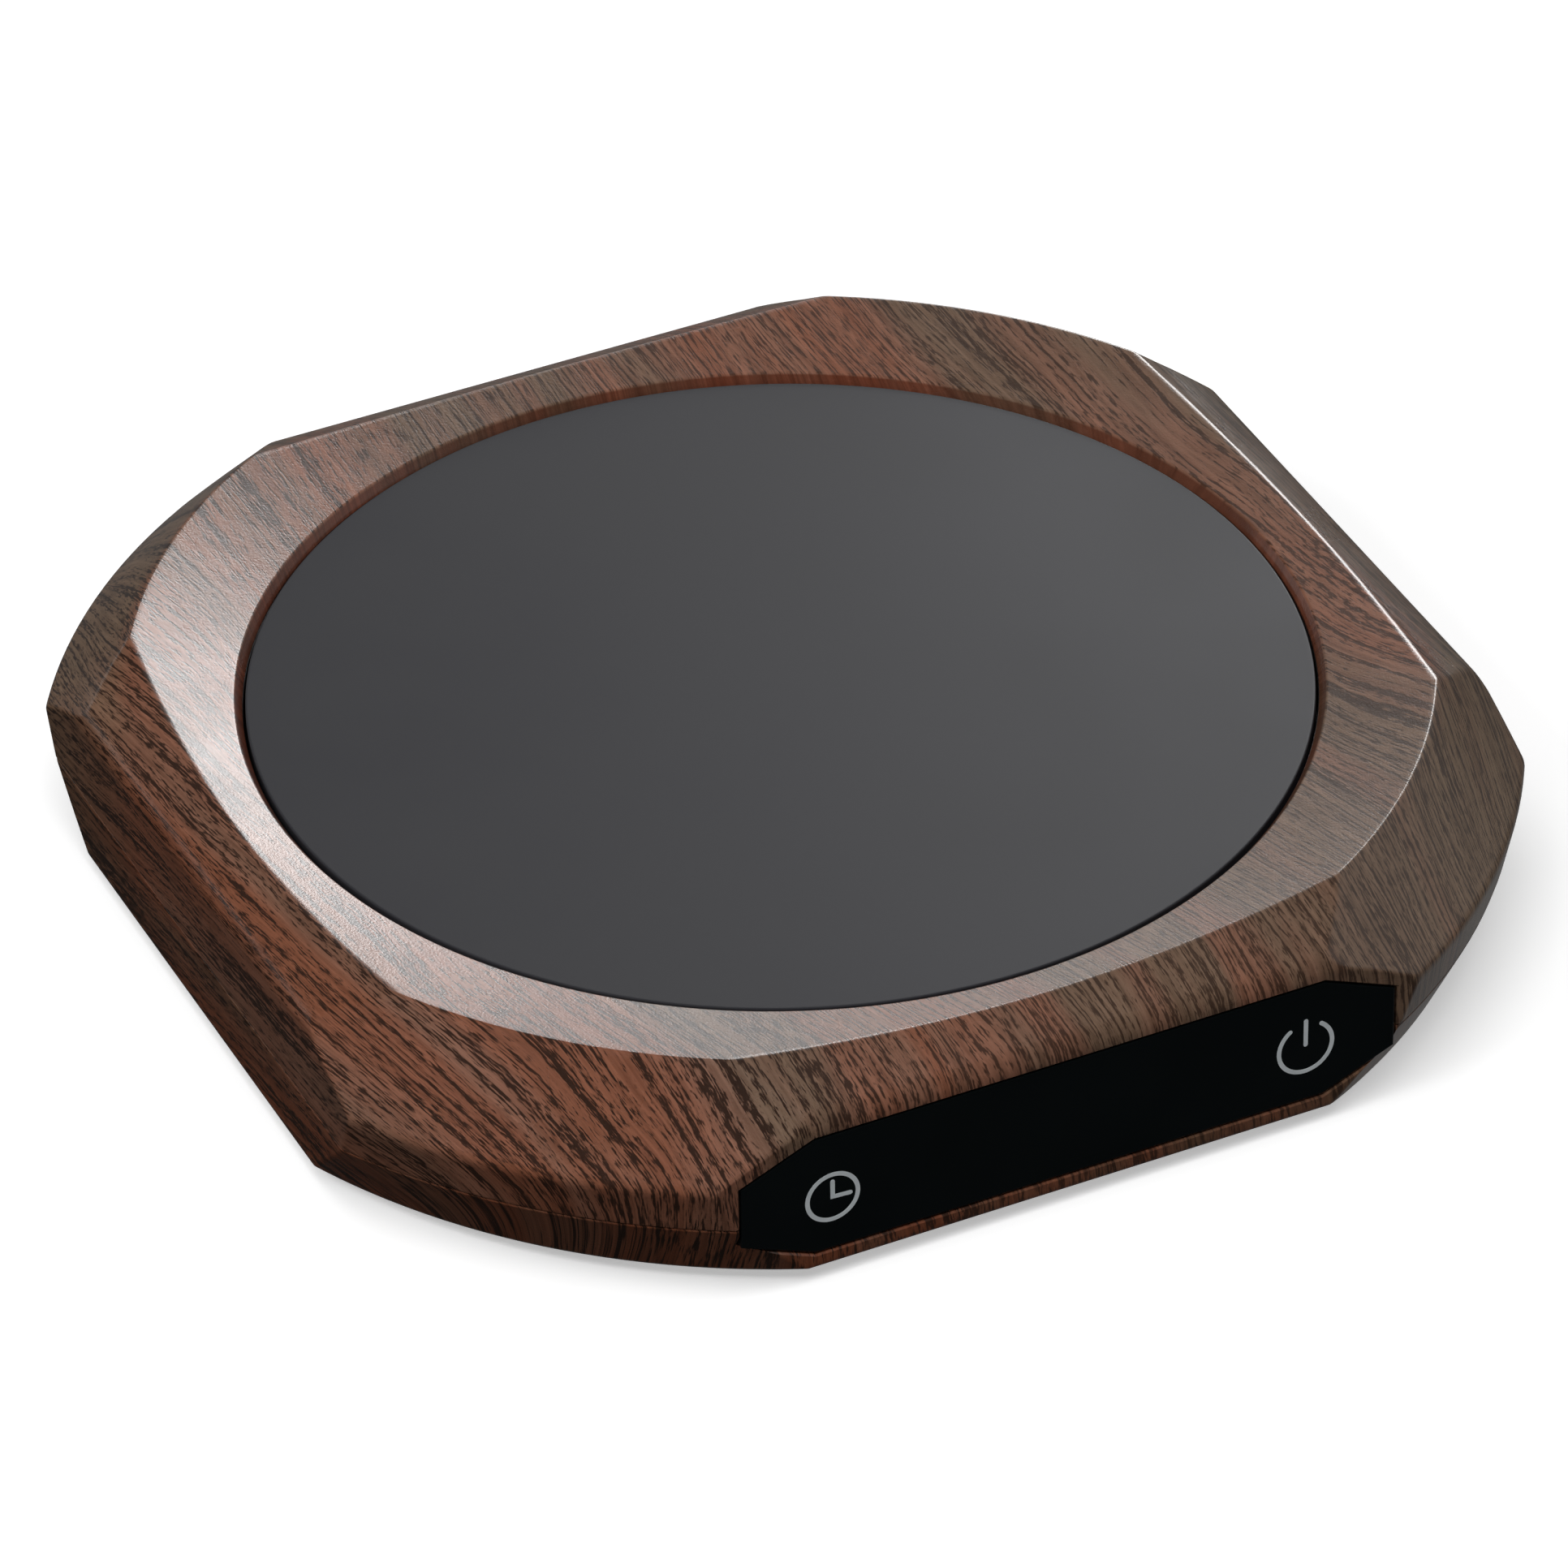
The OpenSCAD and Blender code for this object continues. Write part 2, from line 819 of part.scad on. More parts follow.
// Square base with a round drum on it
module drum(w, base_t, d, h) {
    translate([-w / 2, -w / 2, 0]) cube([w, w, base_t]);
    cylinder(d = d, h = h);
}

module inductor() {
    color("#3d3d3d") translate([coil_x, coil_y, board_top]) drum(coil_w, 1, coil_w - 0.4, coil_h);
}

module capacitors() {
    color("#b8bcc2")
        for (x = cap_x)
            translate([x, cap_y, board_top]) drum(cap_w, 0.8, cap_w - 0.4, cap_h);
}

module chip_resistors() {
    color("#30302e")
        for (i = [0:5], j = [0, 1])
            translate([chip_x + 8 + i * 2.6, chip_y + chip_size[1] + 3 + j * 2.2, board_top])
                cube([1.6, 0.9, 0.5]);
}

// Round buzzer with a sound hole
module buzzer() {
    color("#1b1b1b")
        translate([buzzer_x, buzzer_y, board_top])
            difference() {
                cylinder(d = buzzer_d, h = buzzer_h);
                translate([0, 0, buzzer_h / 2]) cylinder(d = buzzer_d / 4, h = buzzer_h);
            }
}

function socket_len(i) = socket_ways[i] * plug_pitch + 2;

// Socket number i, drawn in by g all round, from z0 to z1
module socket_block(i, g, z0, z1) {
    block(
        [socket_x[i] + g, socket_y + g, z0],
        [socket_x[i] + socket_len(i) - g, socket_y + socket_w - g, z1]
    );
}

// Open-topped sockets for the three wire plugs
module wire_sockets() {
    color("ivory")
        for (i = [0:2])
            difference() {
                socket_block(i, 0, board_top, board_top + plug_socket_h);
                socket_block(i, socket_wall, board_top + 1, board_top + plug_socket_h + 1);
            }
}

module wire_plugs() {
    color("white")
        for (i = [0:2]) socket_block(i, socket_wall + 0.1, board_top + 1.05, plug_top);
}

// Where wire number k leaves plug number i
function plug_way(i, k) = [socket_x[i] + 1 + plug_pitch * (k + 0.5), socket_y + socket_w / 2, plug_top];

module heater_leads() {
    level = (plug_top + tray_z) / 2;
    color("red")
        for (k = [0, 1]) {
            x = (2 * k - 1) * lead_x;
            wire([
                plug_way(0, k),
                plug_way(0, k) + [0, 0, lead_rise],
                [x, lead_y, level],
                [x, lead_y, track_z]
            ], lead_d);
        }
}

module sensor_leads() {
    color("white")
        for (k = [0, 1]) {
            x = (k - 0.5) * sensor_d / 2;
            wire([
                plug_way(1, k),
                plug_way(1, k) + [0, 0, lead_rise],
                [x, 0, sensor_bottom - lead_rise],
                [x, 0, sensor_bottom]
            ], thin_lead_d);
        }
}

module display_cable() {
    back = -flat + touch_board_y + board_t;
    color("black")
        for (k = [0:socket_ways[2] - 1])
            wire([
                plug_way(2, k),
                plug_way(2, k) + [0, 0, lead_rise],
                [(k + 1) * plug_pitch, back + 5, window_mid_z],
                [(k + 1) * plug_pitch, back, window_mid_z]
            ], thin_lead_d);
}

// ---- Front window ----

module front_window() {
    color("#0b0d0f") window_plate(0, -flat + window_inset, -flat + window_back);
}

// Adhesive frame that holds the window on its tongue
module window_tape() {
    color("#202020")
        difference() {
            window_plate(-0.3, -flat + window_back, -flat + tongue_front);
            block(
                [-display_w / 2 - 1, -flat, window_mid_z - display_h / 2 - 0.4],
                [display_w / 2 + 1, 0, window_mid_z + display_h / 2 + 0.4]
            );
            behind_window(touch_x, touch_board_y) cylinder(d = touch_pad_d + 1, h = touch_board_y);
        }
}

module touch_board() {
    y = -flat + touch_board_y;
    color("#1f5c3a")
        difference() {
            block(
                [-touch_board_w / 2, y, touch_board_z],
                [touch_board_w / 2, y + board_t, touch_board_z + touch_board_h]
            );
            behind_window(touch_post_x, touch_board_y + board_t + 1)
                cylinder(d = small_screw_d + 2 * clearance, h = board_t + 2);
        }
}

module touch_board_screws() {
    color("silver")
        behind_window(touch_post_x, touch_board_y + board_t + small_head_h)
            screw(small_core_d, board_t + 2.4, small_head_d, small_head_h);
}

// Conductive rubber columns between the touch board and the window
module touch_pads() {
    color("#1a1a1a")
        behind_window(touch_x, touch_board_y)
            cylinder(d = touch_pad_d, h = touch_board_y - window_back);
}

// Three-digit display: seven bars a digit, sunk into its face
module led_display() {
    digit_w = 4;
    digit_h = 6;
    digit_pitch = 7.5;
    bar = 0.8;
    bar_gap = 0.15;
    bar_deep = 1.2;
    color("#26282b")
        difference() {
            block(
                [-display_w / 2, -flat + display_front, window_mid_z - display_h / 2],
                [display_w / 2, -flat + touch_board_y, window_mid_z + display_h / 2]
            );
            for (n = [-1:1])
                translate([n * digit_pitch, -flat + display_front - 1, window_mid_z]) {
                    for (s = [-1:1])
                        translate([-digit_w / 2 + bar, 0, s * (digit_h / 2 - bar / 2) - bar / 2])
                            cube([digit_w - 2 * bar, bar_deep, bar]);
                    for (x = [-1, 1], s = [-1, 1])
                        translate([
                            x * (digit_w - bar) / 2 - bar / 2,
                            0,
                            (s - 1) * digit_h / 4 + bar + bar_gap
                        ])
                            cube([bar, bar_deep, digit_h / 2 - 2 * (bar + bar_gap)]);
                }
        }
}

// ---- Power inlet ----

module inlet_bore(d, y0, y1) {
    translate([0, y1, inlet_z]) rotate([90, 0, 0]) cylinder(d = d, h = y1 - y0);
}

// Barrel socket with a round nose that shows in the back wall
module dc_inlet() {
    color("#17181a")
        difference() {
            union() {
                block(
                    [-inlet_w / 2, inlet_front - inlet_l, board_top],
                    [inlet_w / 2, inlet_front, board_top + inlet_h]
                );
                inlet_bore(nose_d, inlet_front - 1, nose_front);
            }
            inlet_bore(socket_d, nose_front - socket_l, nose_front + 1);
            inlet_bore(lead_in_d, nose_front - lead_in_l, nose_front + 1);
        }
}

module inlet_pin() {
    root = nose_front - socket_l;
    tip = 0.5;
    color("gold")
        translate([0, root, inlet_z])
            rotate([-90, 0, 0])
                union() {
                    cylinder(d = pin_d, h = socket_l - pin_recess - tip, $fn = 48);
                    translate([0, 0, socket_l - pin_recess - tip])
                        cylinder(d1 = pin_d, d2 = pin_d * 0.5, h = tip, $fn = 48);
                }
}

// ---- Fasteners and feet ----

module case_screws() {
    color("silver")
        on_diagonals(boss_r)
            translate([0, 0, head_seat - head_h])
                screw(screw_d - 0.1, case_screw_l, head_d, head_h);
}

module rubber_feet() {
    soft = 0.5;
    color("#1c1c1c")
        on_diagonals(foot_r)
            rotate_extrude()
                polygon([
                    [0, 0],
                    [foot_d / 2 - soft, 0],
                    [foot_d / 2, soft],
                    [foot_d / 2, foot_h + foot_inset],
                    [0, foot_h + foot_inset]
                ]);
}

top_shell();
base_cover();
glass_plate();
plate_seal();
heat_spreader();
mica_sheet_upper();
heating_track();
mica_sheet_lower();
insulation_pad();
clamp_tray();
clamp_screws();
temperature_sensor();
thermal_fuse();
control_board();
board_screws();
controller_chip();
power_transistor();
inductor();
capacitors();
chip_resistors();
buzzer();
wire_sockets();
wire_plugs();
heater_leads();
sensor_leads();
display_cable();
touch_board();
touch_board_screws();
touch_pads();
led_display();
front_window();
window_tape();
dc_inlet();
inlet_pin();
case_screws();
rubber_feet();
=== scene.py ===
# %% [markdown]
# # An electric mug warmer
#
# The object is a flat wooden-looking box with a round black glass plate on top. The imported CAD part
# gives every piece its place and size. This script keeps that frame and gives each piece its looks:
# smooth meshes for what the CAD model can only facet, and a procedural material for every surface.
# All lengths below are in millimetres, and a mesh is turned into metres when it is made.

# %% Load the frame
import json
import math

import bmesh
import bpy
import numpy as np
from mathutils import Matrix, Vector


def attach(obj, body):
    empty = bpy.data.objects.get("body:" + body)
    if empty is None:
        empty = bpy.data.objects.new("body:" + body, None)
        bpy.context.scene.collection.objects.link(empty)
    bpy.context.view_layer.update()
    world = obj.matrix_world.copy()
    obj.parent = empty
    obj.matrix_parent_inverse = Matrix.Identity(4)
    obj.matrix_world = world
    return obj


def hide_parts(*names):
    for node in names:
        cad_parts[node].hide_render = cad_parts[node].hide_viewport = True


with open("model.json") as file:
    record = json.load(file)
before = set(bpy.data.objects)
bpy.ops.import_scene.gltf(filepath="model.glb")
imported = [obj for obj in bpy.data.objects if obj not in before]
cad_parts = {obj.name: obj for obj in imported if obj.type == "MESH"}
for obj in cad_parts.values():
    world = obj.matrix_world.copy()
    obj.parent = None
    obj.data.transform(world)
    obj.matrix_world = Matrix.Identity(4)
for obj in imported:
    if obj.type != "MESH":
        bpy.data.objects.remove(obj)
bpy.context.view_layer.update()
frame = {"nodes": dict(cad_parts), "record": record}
MM = 0.001
print("frame:", len(frame["nodes"]), "nodes")

# %% [markdown]
# ## The housing's shape as a formula
#
# The housing is a cut gem: round corners made of cones, four flat walls, a chamfer over each wall
# and a dished rim on top. A box model with bevels would fight with the places where a cone, a wall
# and a chamfer meet. So the shape is written as a distance formula: each face is a plane or a cone,
# and each edge is where two faces are blended with a small radius. Every vertex is then pushed onto
# the formula's surface, and its shading normal is the formula's own slope.

# %% Sizes of the housing
FOOT_H = 1.5                 # the feet hold the underside this high
FLAT = 60.0                  # half the width across the flat walls
PARTING_Z, PARTING_GAP = 8.4, 0.15
WALL = 2.2
LIP_R, LIP_Z = 50.6, 19.55   # inner lip of the dished rim
RIM_R, RIM_Z = 61.2, 21.95   # where the cone and the dish would meet without rounding
RIDGE_R, RIDGE_Z = 69.7, 13.25
PARTING_R, BOTTOM_R = 68.7, 65.5
CHAMFER_Z, CHAMFER_ANGLE = 17.76, math.radians(31.1)
LEDGE_R, LEDGE_LOW, LEDGE_HIGH = 46.5, 14.2, 15.6


def face(start, end):
    """Outward normal and a point of the section line from start to end, walking up the outside."""
    along = np.subtract(end, start)
    normal = np.array([along[1], -along[0]]) / np.hypot(*along)
    return normal, np.array(start, float)


LOW = face((BOTTOM_R, FOOT_H), (PARTING_R, PARTING_Z))
BAND = face((PARTING_R, PARTING_Z), (RIDGE_R, RIDGE_Z))
UPPER = face((RIDGE_R, RIDGE_Z), (RIM_R, RIM_Z))
DISH = face((RIM_R, RIM_Z), (LIP_R, LIP_Z))
LIP_BROAD, LIP_END = 0.42, (LIP_R - 0.3, LIP_Z - 0.93)   # the lip is a slanted band that ends here
LIP_BAND = face((LIP_R + LIP_BROAD, LIP_Z + 0.1), LIP_END)
LIP_STEP, LIP_LEAD = 0.1, 1.2                            # just under the band it steps back to LIP_R
CHAMFER = (np.array([math.sin(CHAMFER_ANGLE), math.cos(CHAMFER_ANGLE)]), np.array([FLAT, CHAMFER_Z]))
print("slope of the dish in degrees:", round(math.degrees(math.atan2(-DISH[0][0], DISH[0][1])), 1))


# %% Distance formula
def beyond(line, r, z):
    """How far a point stands outside a face."""
    normal, point = line
    return (r - point[0]) * normal[0] + (z - point[1]) * normal[1]


def blend(a, b, radius):
    """Both faces bound the body, and the edge between them is rounded."""
    inner = np.minimum(np.maximum(a, b), -radius)
    return inner + np.hypot(np.maximum(a + radius, 0), np.maximum(b + radius, 0))


def fillet(radius, first, second):
    """The blend that looks like a fillet of that radius where these two normals meet."""
    return radius * (1 - float(np.dot(first, second)))


RIDGE_ROUND = fillet(0.9, BAND[0], UPPER[0])
CHAMFER_ROUND = fillet(2.2, (1, 0), CHAMFER[0])
RIM_ROUND = fillet(0.34, UPPER[0], DISH[0])
CREASE_ROUND, LIP_ROUND = fillet(0.3, DISH[0], LIP_BAND[0]), fillet(0.1, LIP_BAND[0], (-1, 0))
FACET_ROUND, BOTTOM_ROUND = 0.12, 0.4
BULGE, BULGE_Z, BULGE_REACH = 0.12, 19.1, 1.6   # the chamfers are very slightly full
PARTING_UPPER, PARTING_LOWER = 0.08, 0.22


def body(p, low, high):
    """Distance outside the housing from level low to high, or to the rim, for points p in millimetres."""
    x, y, z = p[..., 0], p[..., 1], p[..., 2]
    r = np.hypot(x, y)
    w = np.maximum(abs(x), abs(y))
    corner = np.maximum(beyond(LOW, r, z), beyond(BAND, r, z))
    corner = blend(corner, beyond(UPPER, r, z), RIDGE_ROUND)
    full = BULGE * np.maximum(1 - ((z - BULGE_Z) / BULGE_REACH) ** 2, 0)
    side = blend(w - FLAT, beyond(CHAMFER, w, z) - full, CHAMFER_ROUND)
    shell = blend(corner, side, FACET_ROUND)
    if high is None:
        lip = LIP_R - (LIP_R - LIP_END[0]) * np.clip((z - LIP_END[1]) / LIP_STEP + LIP_LEAD, 0, 1)
        hollow = blend(beyond(DISH, r, z), beyond(LIP_BAND, r, z), CREASE_ROUND)
        shell = blend(shell, blend(hollow, lip - r, LIP_ROUND), RIM_ROUND)
    else:
        shell = blend(shell, z - high, PARTING_LOWER)
    return blend(shell, low - z, PARTING_UPPER if high is None else BOTTOM_ROUND)


print("blend radii:", round(RIDGE_ROUND, 2), round(CHAMFER_ROUND, 2), round(RIM_ROUND, 2))

# %% [markdown]
# ## Columns and rows of the mesh
#
# A grid is laid round the housing. Columns stand close together where walls meet the round corners,
# and in each column the rows crowd round the edges, because an edge only looks crisp where
# the mesh has rows along it. The sharp section below tells where these edges are.


# %% Columns
END_FROM, END_TO = 22, 31.4                          # a flat wall ends between these angles
WALL_STEP, END_STEP, CORNER_STEP = 1.6, 0.2, 1.7     # degrees from column to column


def columns():
    """Angles round the housing, dense beside the ends of the flat walls."""
    eighth = np.concatenate([
        np.arange(0, END_FROM, WALL_STEP),
        np.arange(END_FROM, END_TO, END_STEP),
        np.arange(END_TO, 45, CORNER_STEP)
    ])
    quarter = np.concatenate([eighth, 90 - eighth[:0:-1], [45]])
    quarter = np.unique(np.round(quarter, 4))
    return np.radians(np.concatenate([quarter + turn for turn in (0, 90, 180, 270)]))


ANGLES = columns()
WIDTHS = FLAT / np.maximum(abs(np.cos(ANGLES)), abs(np.sin(ANGLES)))   # radius of the wall in each
print("columns:", len(ANGLES))


# %% Edges in a column
RIM_HALVINGS = 40


def cone_level(line, radius):
    """Level at which a corner face has that radius."""
    normal, point = line
    return point[1] - (radius - point[0]) * normal[0] / normal[1]


def sharp_radius(z, width):
    """Radius of the unrounded outside at level z, where the flat wall stands at radius width."""
    corner = np.minimum.reduce([
        line[1][0] - (z - line[1][1]) * line[0][1] / line[0][0] for line in (LOW, BAND, UPPER)
    ])
    chamfered = (FLAT - np.maximum(z - CHAMFER_Z, 0) / math.tan(CHAMFER_ANGLE)) / FLAT * width
    return np.minimum(corner, chamfered)


def rim_level(width):
    """Level where the outside meets the dish, found by halving."""
    low, high = CHAMFER_Z, RIM_Z
    for _ in range(RIM_HALVINGS):
        middle = (low + high) / 2
        r = sharp_radius(middle, width)
        dish = LIP_Z + (r - LIP_R) * (RIM_Z - LIP_Z) / (RIM_R - LIP_R)
        low, high = (middle, high) if middle < dish else (low, middle)
    return (low + high) / 2


def edge_levels(width):
    """Levels of the edges of one column above the parting line, kept a little apart."""
    wall_band = np.clip(cone_level(BAND, width), PARTING_Z, RIDGE_Z)
    wall_upper = cone_level(UPPER, width)
    top = rim_level(width)
    if wall_upper > CHAMFER_Z:
        wall_upper = chamfer_start = CHAMFER_Z
    else:
        levels = np.linspace(CHAMFER_Z, top, 200)
        plain = levels[sharp_radius(levels, width) < sharp_radius(levels, 10 * width) - 1e-6]
        chamfer_start = plain[0] if len(plain) else top
    wall_upper = np.clip(wall_upper, RIDGE_Z, top)
    return [wall_band, RIDGE_Z, wall_upper, chamfer_start, top]


print("edge levels on a corner:", np.round(edge_levels(FLAT / math.cos(math.radians(27))), 2))

# %% [markdown]
# ## The upper moulding
#
# On the real object this is one moulding: walls, rim, and the ledge that carries the glass. Its section
# is walked once round: up the outside, over the rim, down the lip, round the ledge,
# and back along the inside of the wall. Joining the last row to the first closes the shell.


# %% Rows
def crowded(start, end, count, reach=1.2):
    """Positions from start to end, crowded towards both ends."""
    t = np.linspace(0, 1, count)
    even = start + (end - start) * t
    eased = start + (end - start) * (t * t * (3 - 2 * t))
    share = min(1.0, abs(end - start) / (6 * reach))
    return even * (1 - share) + eased * share


def spaced(levels, least):
    """The same levels with at least that much between neighbours, first and last kept."""
    out = np.array(levels, float)
    for i in range(1, len(out)):
        out[i] = max(out[i], out[i - 1] + least)
    out[-1] = levels[-1]
    for i in range(len(out) - 2, 0, -1):
        out[i] = min(out[i], out[i + 1] - least)
    return out


def outside_column(width, levels, rows_between):
    """(radius, level) points up the outside of one column, row by row."""
    levels = spaced(levels, 0.12)
    rows = [crowded(a, b, n + 1)[:-1] for a, b, n in zip(levels, levels[1:], rows_between)]
    z = np.append(np.concatenate(rows), levels[-1])
    return np.stack([sharp_radius(z, width), z], axis=1)


def dish_points(radii):
    """Section points on the dish at those radii."""
    return np.stack([radii, LIP_Z + (radii - LIP_R) * (RIM_Z - LIP_Z) / (RIM_R - LIP_R)], axis=1)


print("rows of a 4 mm face:", np.round(crowded(0, 4, 9), 2))


# %% Push points onto the surface
TOP_GUARD, BASE_GUARD = np.array([56.0, 13.0]), np.array([50.0, 5.0])   # circles inside the two mouldings
BACKWARDS, TO_GUARD, ALONG_WAY = -0.5, 4.0, 9.0                         # how far a point may travel
SURFACE_HALVINGS = 34


def onto_surface(points, angle, distance, level=0.0, way=None, guard=TOP_GUARD):
    """Moves a column's section points along way, or towards the guard, to where distance is level."""
    points = np.array(points, float)
    toward = guard - points if way is None else np.tile(np.array(way, float), (len(points), 1))
    toward /= np.linalg.norm(toward, axis=1)[:, None]
    low = np.full(len(points), BACKWARDS)
    high = np.full(len(points), TO_GUARD if way is None else ALONG_WAY)
    for _ in range(SURFACE_HALVINGS):
        middle = (low + high) / 2
        q = points + toward * middle[:, None]
        space = np.stack([q[:, 0] * math.cos(angle), q[:, 0] * math.sin(angle), q[:, 1]], axis=1)
        outside = distance(space) > level
        low, high = np.where(outside, middle, low), np.where(outside, high, middle)
    return points + toward * ((low + high) / 2)[:, None]


print("points settle to", (TO_GUARD - BACKWARDS) / 2 ** SURFACE_HALVINGS, "mm")

# %% Section of the upper moulding
TOP_LOW = PARTING_Z + PARTING_GAP
TOP_ROWS, DISH_ROWS, ROOF_ROWS, WALL_ROWS = (8, 9, 8, 8, 12), 14, 3, 9
EDGE_ROWS = np.array([0.15, 0.35, 0.7, 1.2])                         # rows beside a sharp edge
BAND_ROWS = np.array([0.06, 0.15, 0.3, 0.5, 0.7, 0.85, 0.95, 1.0])   # shares of the lip's band
COLLAR_R = LIP_R + WALL
ROOF_START, ROOF_LEAST = COLLAR_R + 0.2, COLLAR_R + 0.6
ROOF_END, ROOF_DROP = 1.5, 0.3   # the roof ends this far inside the rim, this far above the inner wall


def top_distance(p):
    return body(p, TOP_LOW, None)


def hollow_distance(p):
    return body(p, -50.0, None)


def inner_wall(levels, angle, width):
    """Section points on the inside of the outer wall at those levels."""
    outside = np.stack([sharp_radius(levels, width), levels], axis=1)
    return onto_surface(outside, angle, hollow_distance, -WALL, (-1, 0))


def top_section(angle, width):
    """Closed section of the upper moulding in one column."""
    outer = outside_column(width, [TOP_LOW] + edge_levels(width), TOP_ROWS)
    rim_r = outer[-1, 0]
    dish = dish_points(crowded(rim_r, LIP_R + LIP_BROAD, DISH_ROWS)[1:])
    under_r = outer[0, 0] - EDGE_ROWS[::-1]
    under = np.stack([under_r, np.full(len(under_r), TOP_LOW)], axis=1)
    band = LIP_BAND[1] + BAND_ROWS[:, None] * np.subtract(LIP_END, LIP_BAND[1])
    skin = onto_surface(np.concatenate([under, outer, dish, band]), angle, top_distance)
    lip = [(LIP_END[0], LIP_END[1] - 0.03), (LIP_R, LIP_END[1] - 0.13), (LIP_R, LIP_END[1] - 0.3)]
    ledge = [(LIP_R, LEDGE_HIGH), (LEDGE_R, LEDGE_HIGH), (LEDGE_R, LEDGE_LOW), (COLLAR_R, LEDGE_LOW)]
    roof_r = np.linspace(ROOF_START, max(rim_r - ROOF_END, ROOF_LEAST), ROOF_ROWS)
    roof = onto_surface(dish_points(roof_r), angle, hollow_distance, -WALL, (0, -1))
    inside = inner_wall(np.linspace(roof[-1, 1] - ROOF_DROP, TOP_LOW, WALL_ROWS), angle, width)
    return np.concatenate([skin, lip, ledge, roof, inside])


top_sections = [top_section(a, w) for a, w in zip(ANGLES, WIDTHS)]
print("upper moulding:", len(top_sections), "columns of", len(top_sections[0]), "rows")


# %% Grid to mesh
def space_points(sections):
    """Sections of all columns as points in space."""
    s = np.asarray(sections)
    r, z = s[..., 0], s[..., 1]
    x, y = r * np.cos(ANGLES)[:, None], r * np.sin(ANGLES)[:, None]
    return np.stack([x, y, z], axis=-1).reshape(-1, 3)


def grid_faces(n_columns, n_rows, closed_rows):
    """Quads of a grid that closes round the housing, and over its last row if closed_rows."""
    faces = []
    for c in range(n_columns):
        d = (c + 1) % n_columns
        for r in range(n_rows if closed_rows else n_rows - 1):
            s = (r + 1) % n_rows
            faces.append((c * n_rows + r, d * n_rows + r, d * n_rows + s, c * n_rows + s))
    return faces


def piece(name, verts, faces):
    """A new object in metres, its place in its mesh, from vertices in millimetres."""
    mesh = bpy.data.meshes.new(name)
    mesh.from_pydata([tuple(v) for v in np.asarray(verts, float) * MM], [], [tuple(f) for f in faces])
    obj = bpy.data.objects.new(name, mesh)
    bpy.context.collection.objects.link(obj)
    return obj


quads = grid_faces(len(ANGLES), len(top_sections[0]), True)
top = piece("upper_moulding", space_points(top_sections), quads)
print("upper moulding:", len(top.data.polygons), "faces")

# %% [markdown]
# ## The lower moulding
#
# It carries on the same shape below the parting line, so it uses the same formula with an upper limit.
# Its section starts in the middle of the underside and ends in the middle of the floor's top,
# and a fan of triangles closes each of these two poles.

# %% Section of the lower moulding
BASE_ROWS, BASE_WALL_ROWS = (12, 12), 5
FLOOR_TOP = FOOT_H + WALL
UNDERSIDE_RADII, FLOOR_RADII = (6.0, 24.0, 42.0, 54.0), (52.0, 30.0, 6.0)


def base_distance(p):
    return body(p, FOOT_H, PARTING_Z)


def base_section(angle, width):
    """Section of the lower moulding in one column, from pole to pole."""
    bend = float(np.clip(cone_level(LOW, width), FOOT_H, PARTING_Z))
    outer = outside_column(width, [FOOT_H, bend, PARTING_Z], BASE_ROWS)
    under_r = outer[0, 0] - np.append(2.5, EDGE_ROWS[::-1])
    under = np.stack([under_r, np.full(len(under_r), FOOT_H)], axis=1)
    over_r = outer[-1, 0] - EDGE_ROWS
    over = np.stack([over_r, np.full(len(over_r), PARTING_Z)], axis=1)
    skin = onto_surface(np.concatenate([under, outer, over]), angle, base_distance, guard=BASE_GUARD)
    underside = np.array([[r, FOOT_H] for r in UNDERSIDE_RADII])
    inside = inner_wall(np.linspace(PARTING_Z, FLOOR_TOP, BASE_WALL_ROWS), angle, width)
    floor = np.array([[r, FLOOR_TOP] for r in FLOOR_RADII])
    return np.concatenate([underside, skin, inside, floor])


base_sections = [base_section(a, w) for a, w in zip(ANGLES, WIDTHS)]
rows = len(base_sections[0])
points = space_points(base_sections)
poles = [[0, 0, FOOT_H], [0, 0, FLOOR_TOP]]
faces = grid_faces(len(ANGLES), rows, False)
for c in range(len(ANGLES)):
    d = (c + 1) % len(ANGLES)
    faces.append((len(points), d * rows, c * rows))
    faces.append((len(points) + 1, c * rows + rows - 1, d * rows + rows - 1))
base = piece("lower_moulding", np.concatenate([points, poles]), faces)
print("lower moulding:", len(base.data.polygons), "faces")

# %% [markdown]
# ## Openings
#
# The window's pocket and the round hole of the inlet cut through both mouldings, and the underside has
# four screw wells and four shallow seats for the feet. Each is a simple solid that a Boolean modifier
# subtracts, and four posts for the case screws are added in the same way. A Boolean leaves some corners
# on top of each other, so every result is welded, and stays one closed mesh. The pocket's mouth flares
# a little, because on the real object a fine bright line runs round the window where the edge of the
# cut-out catches the light.


# %% Cutters
def prism(outline, y0, y1, flare=0.0):
    """Points and faces of an outline in X and Z drawn from y0 to y1, wider by flare at y0."""
    count = len(outline)
    front = [(x, y0, z) for x, z in grown(outline, flare)]
    back = [(x, y1, z) for x, z in outline]
    sides = [(i, count + i, count + (i + 1) % count, (i + 1) % count) for i in range(count)]
    return front + back, sides + [tuple(range(count)), tuple(range(count, 2 * count))[::-1]]


def side_normals(sides):
    """Unit vectors out of the sides of an anticlockwise outline."""
    return np.stack([sides[:, 1], -sides[:, 0]], axis=1) / np.linalg.norm(sides, axis=1)[:, None]


def grown(outline, g):
    """An anticlockwise outline with every side moved out by g."""
    p = np.array(outline, float)
    m, n = side_normals(p - np.roll(p, 1, axis=0)), side_normals(np.roll(p, -1, axis=0) - p)
    return [tuple(q) for q in p + g * (m + n) / (1 + (m * n).sum(axis=1))[:, None]]


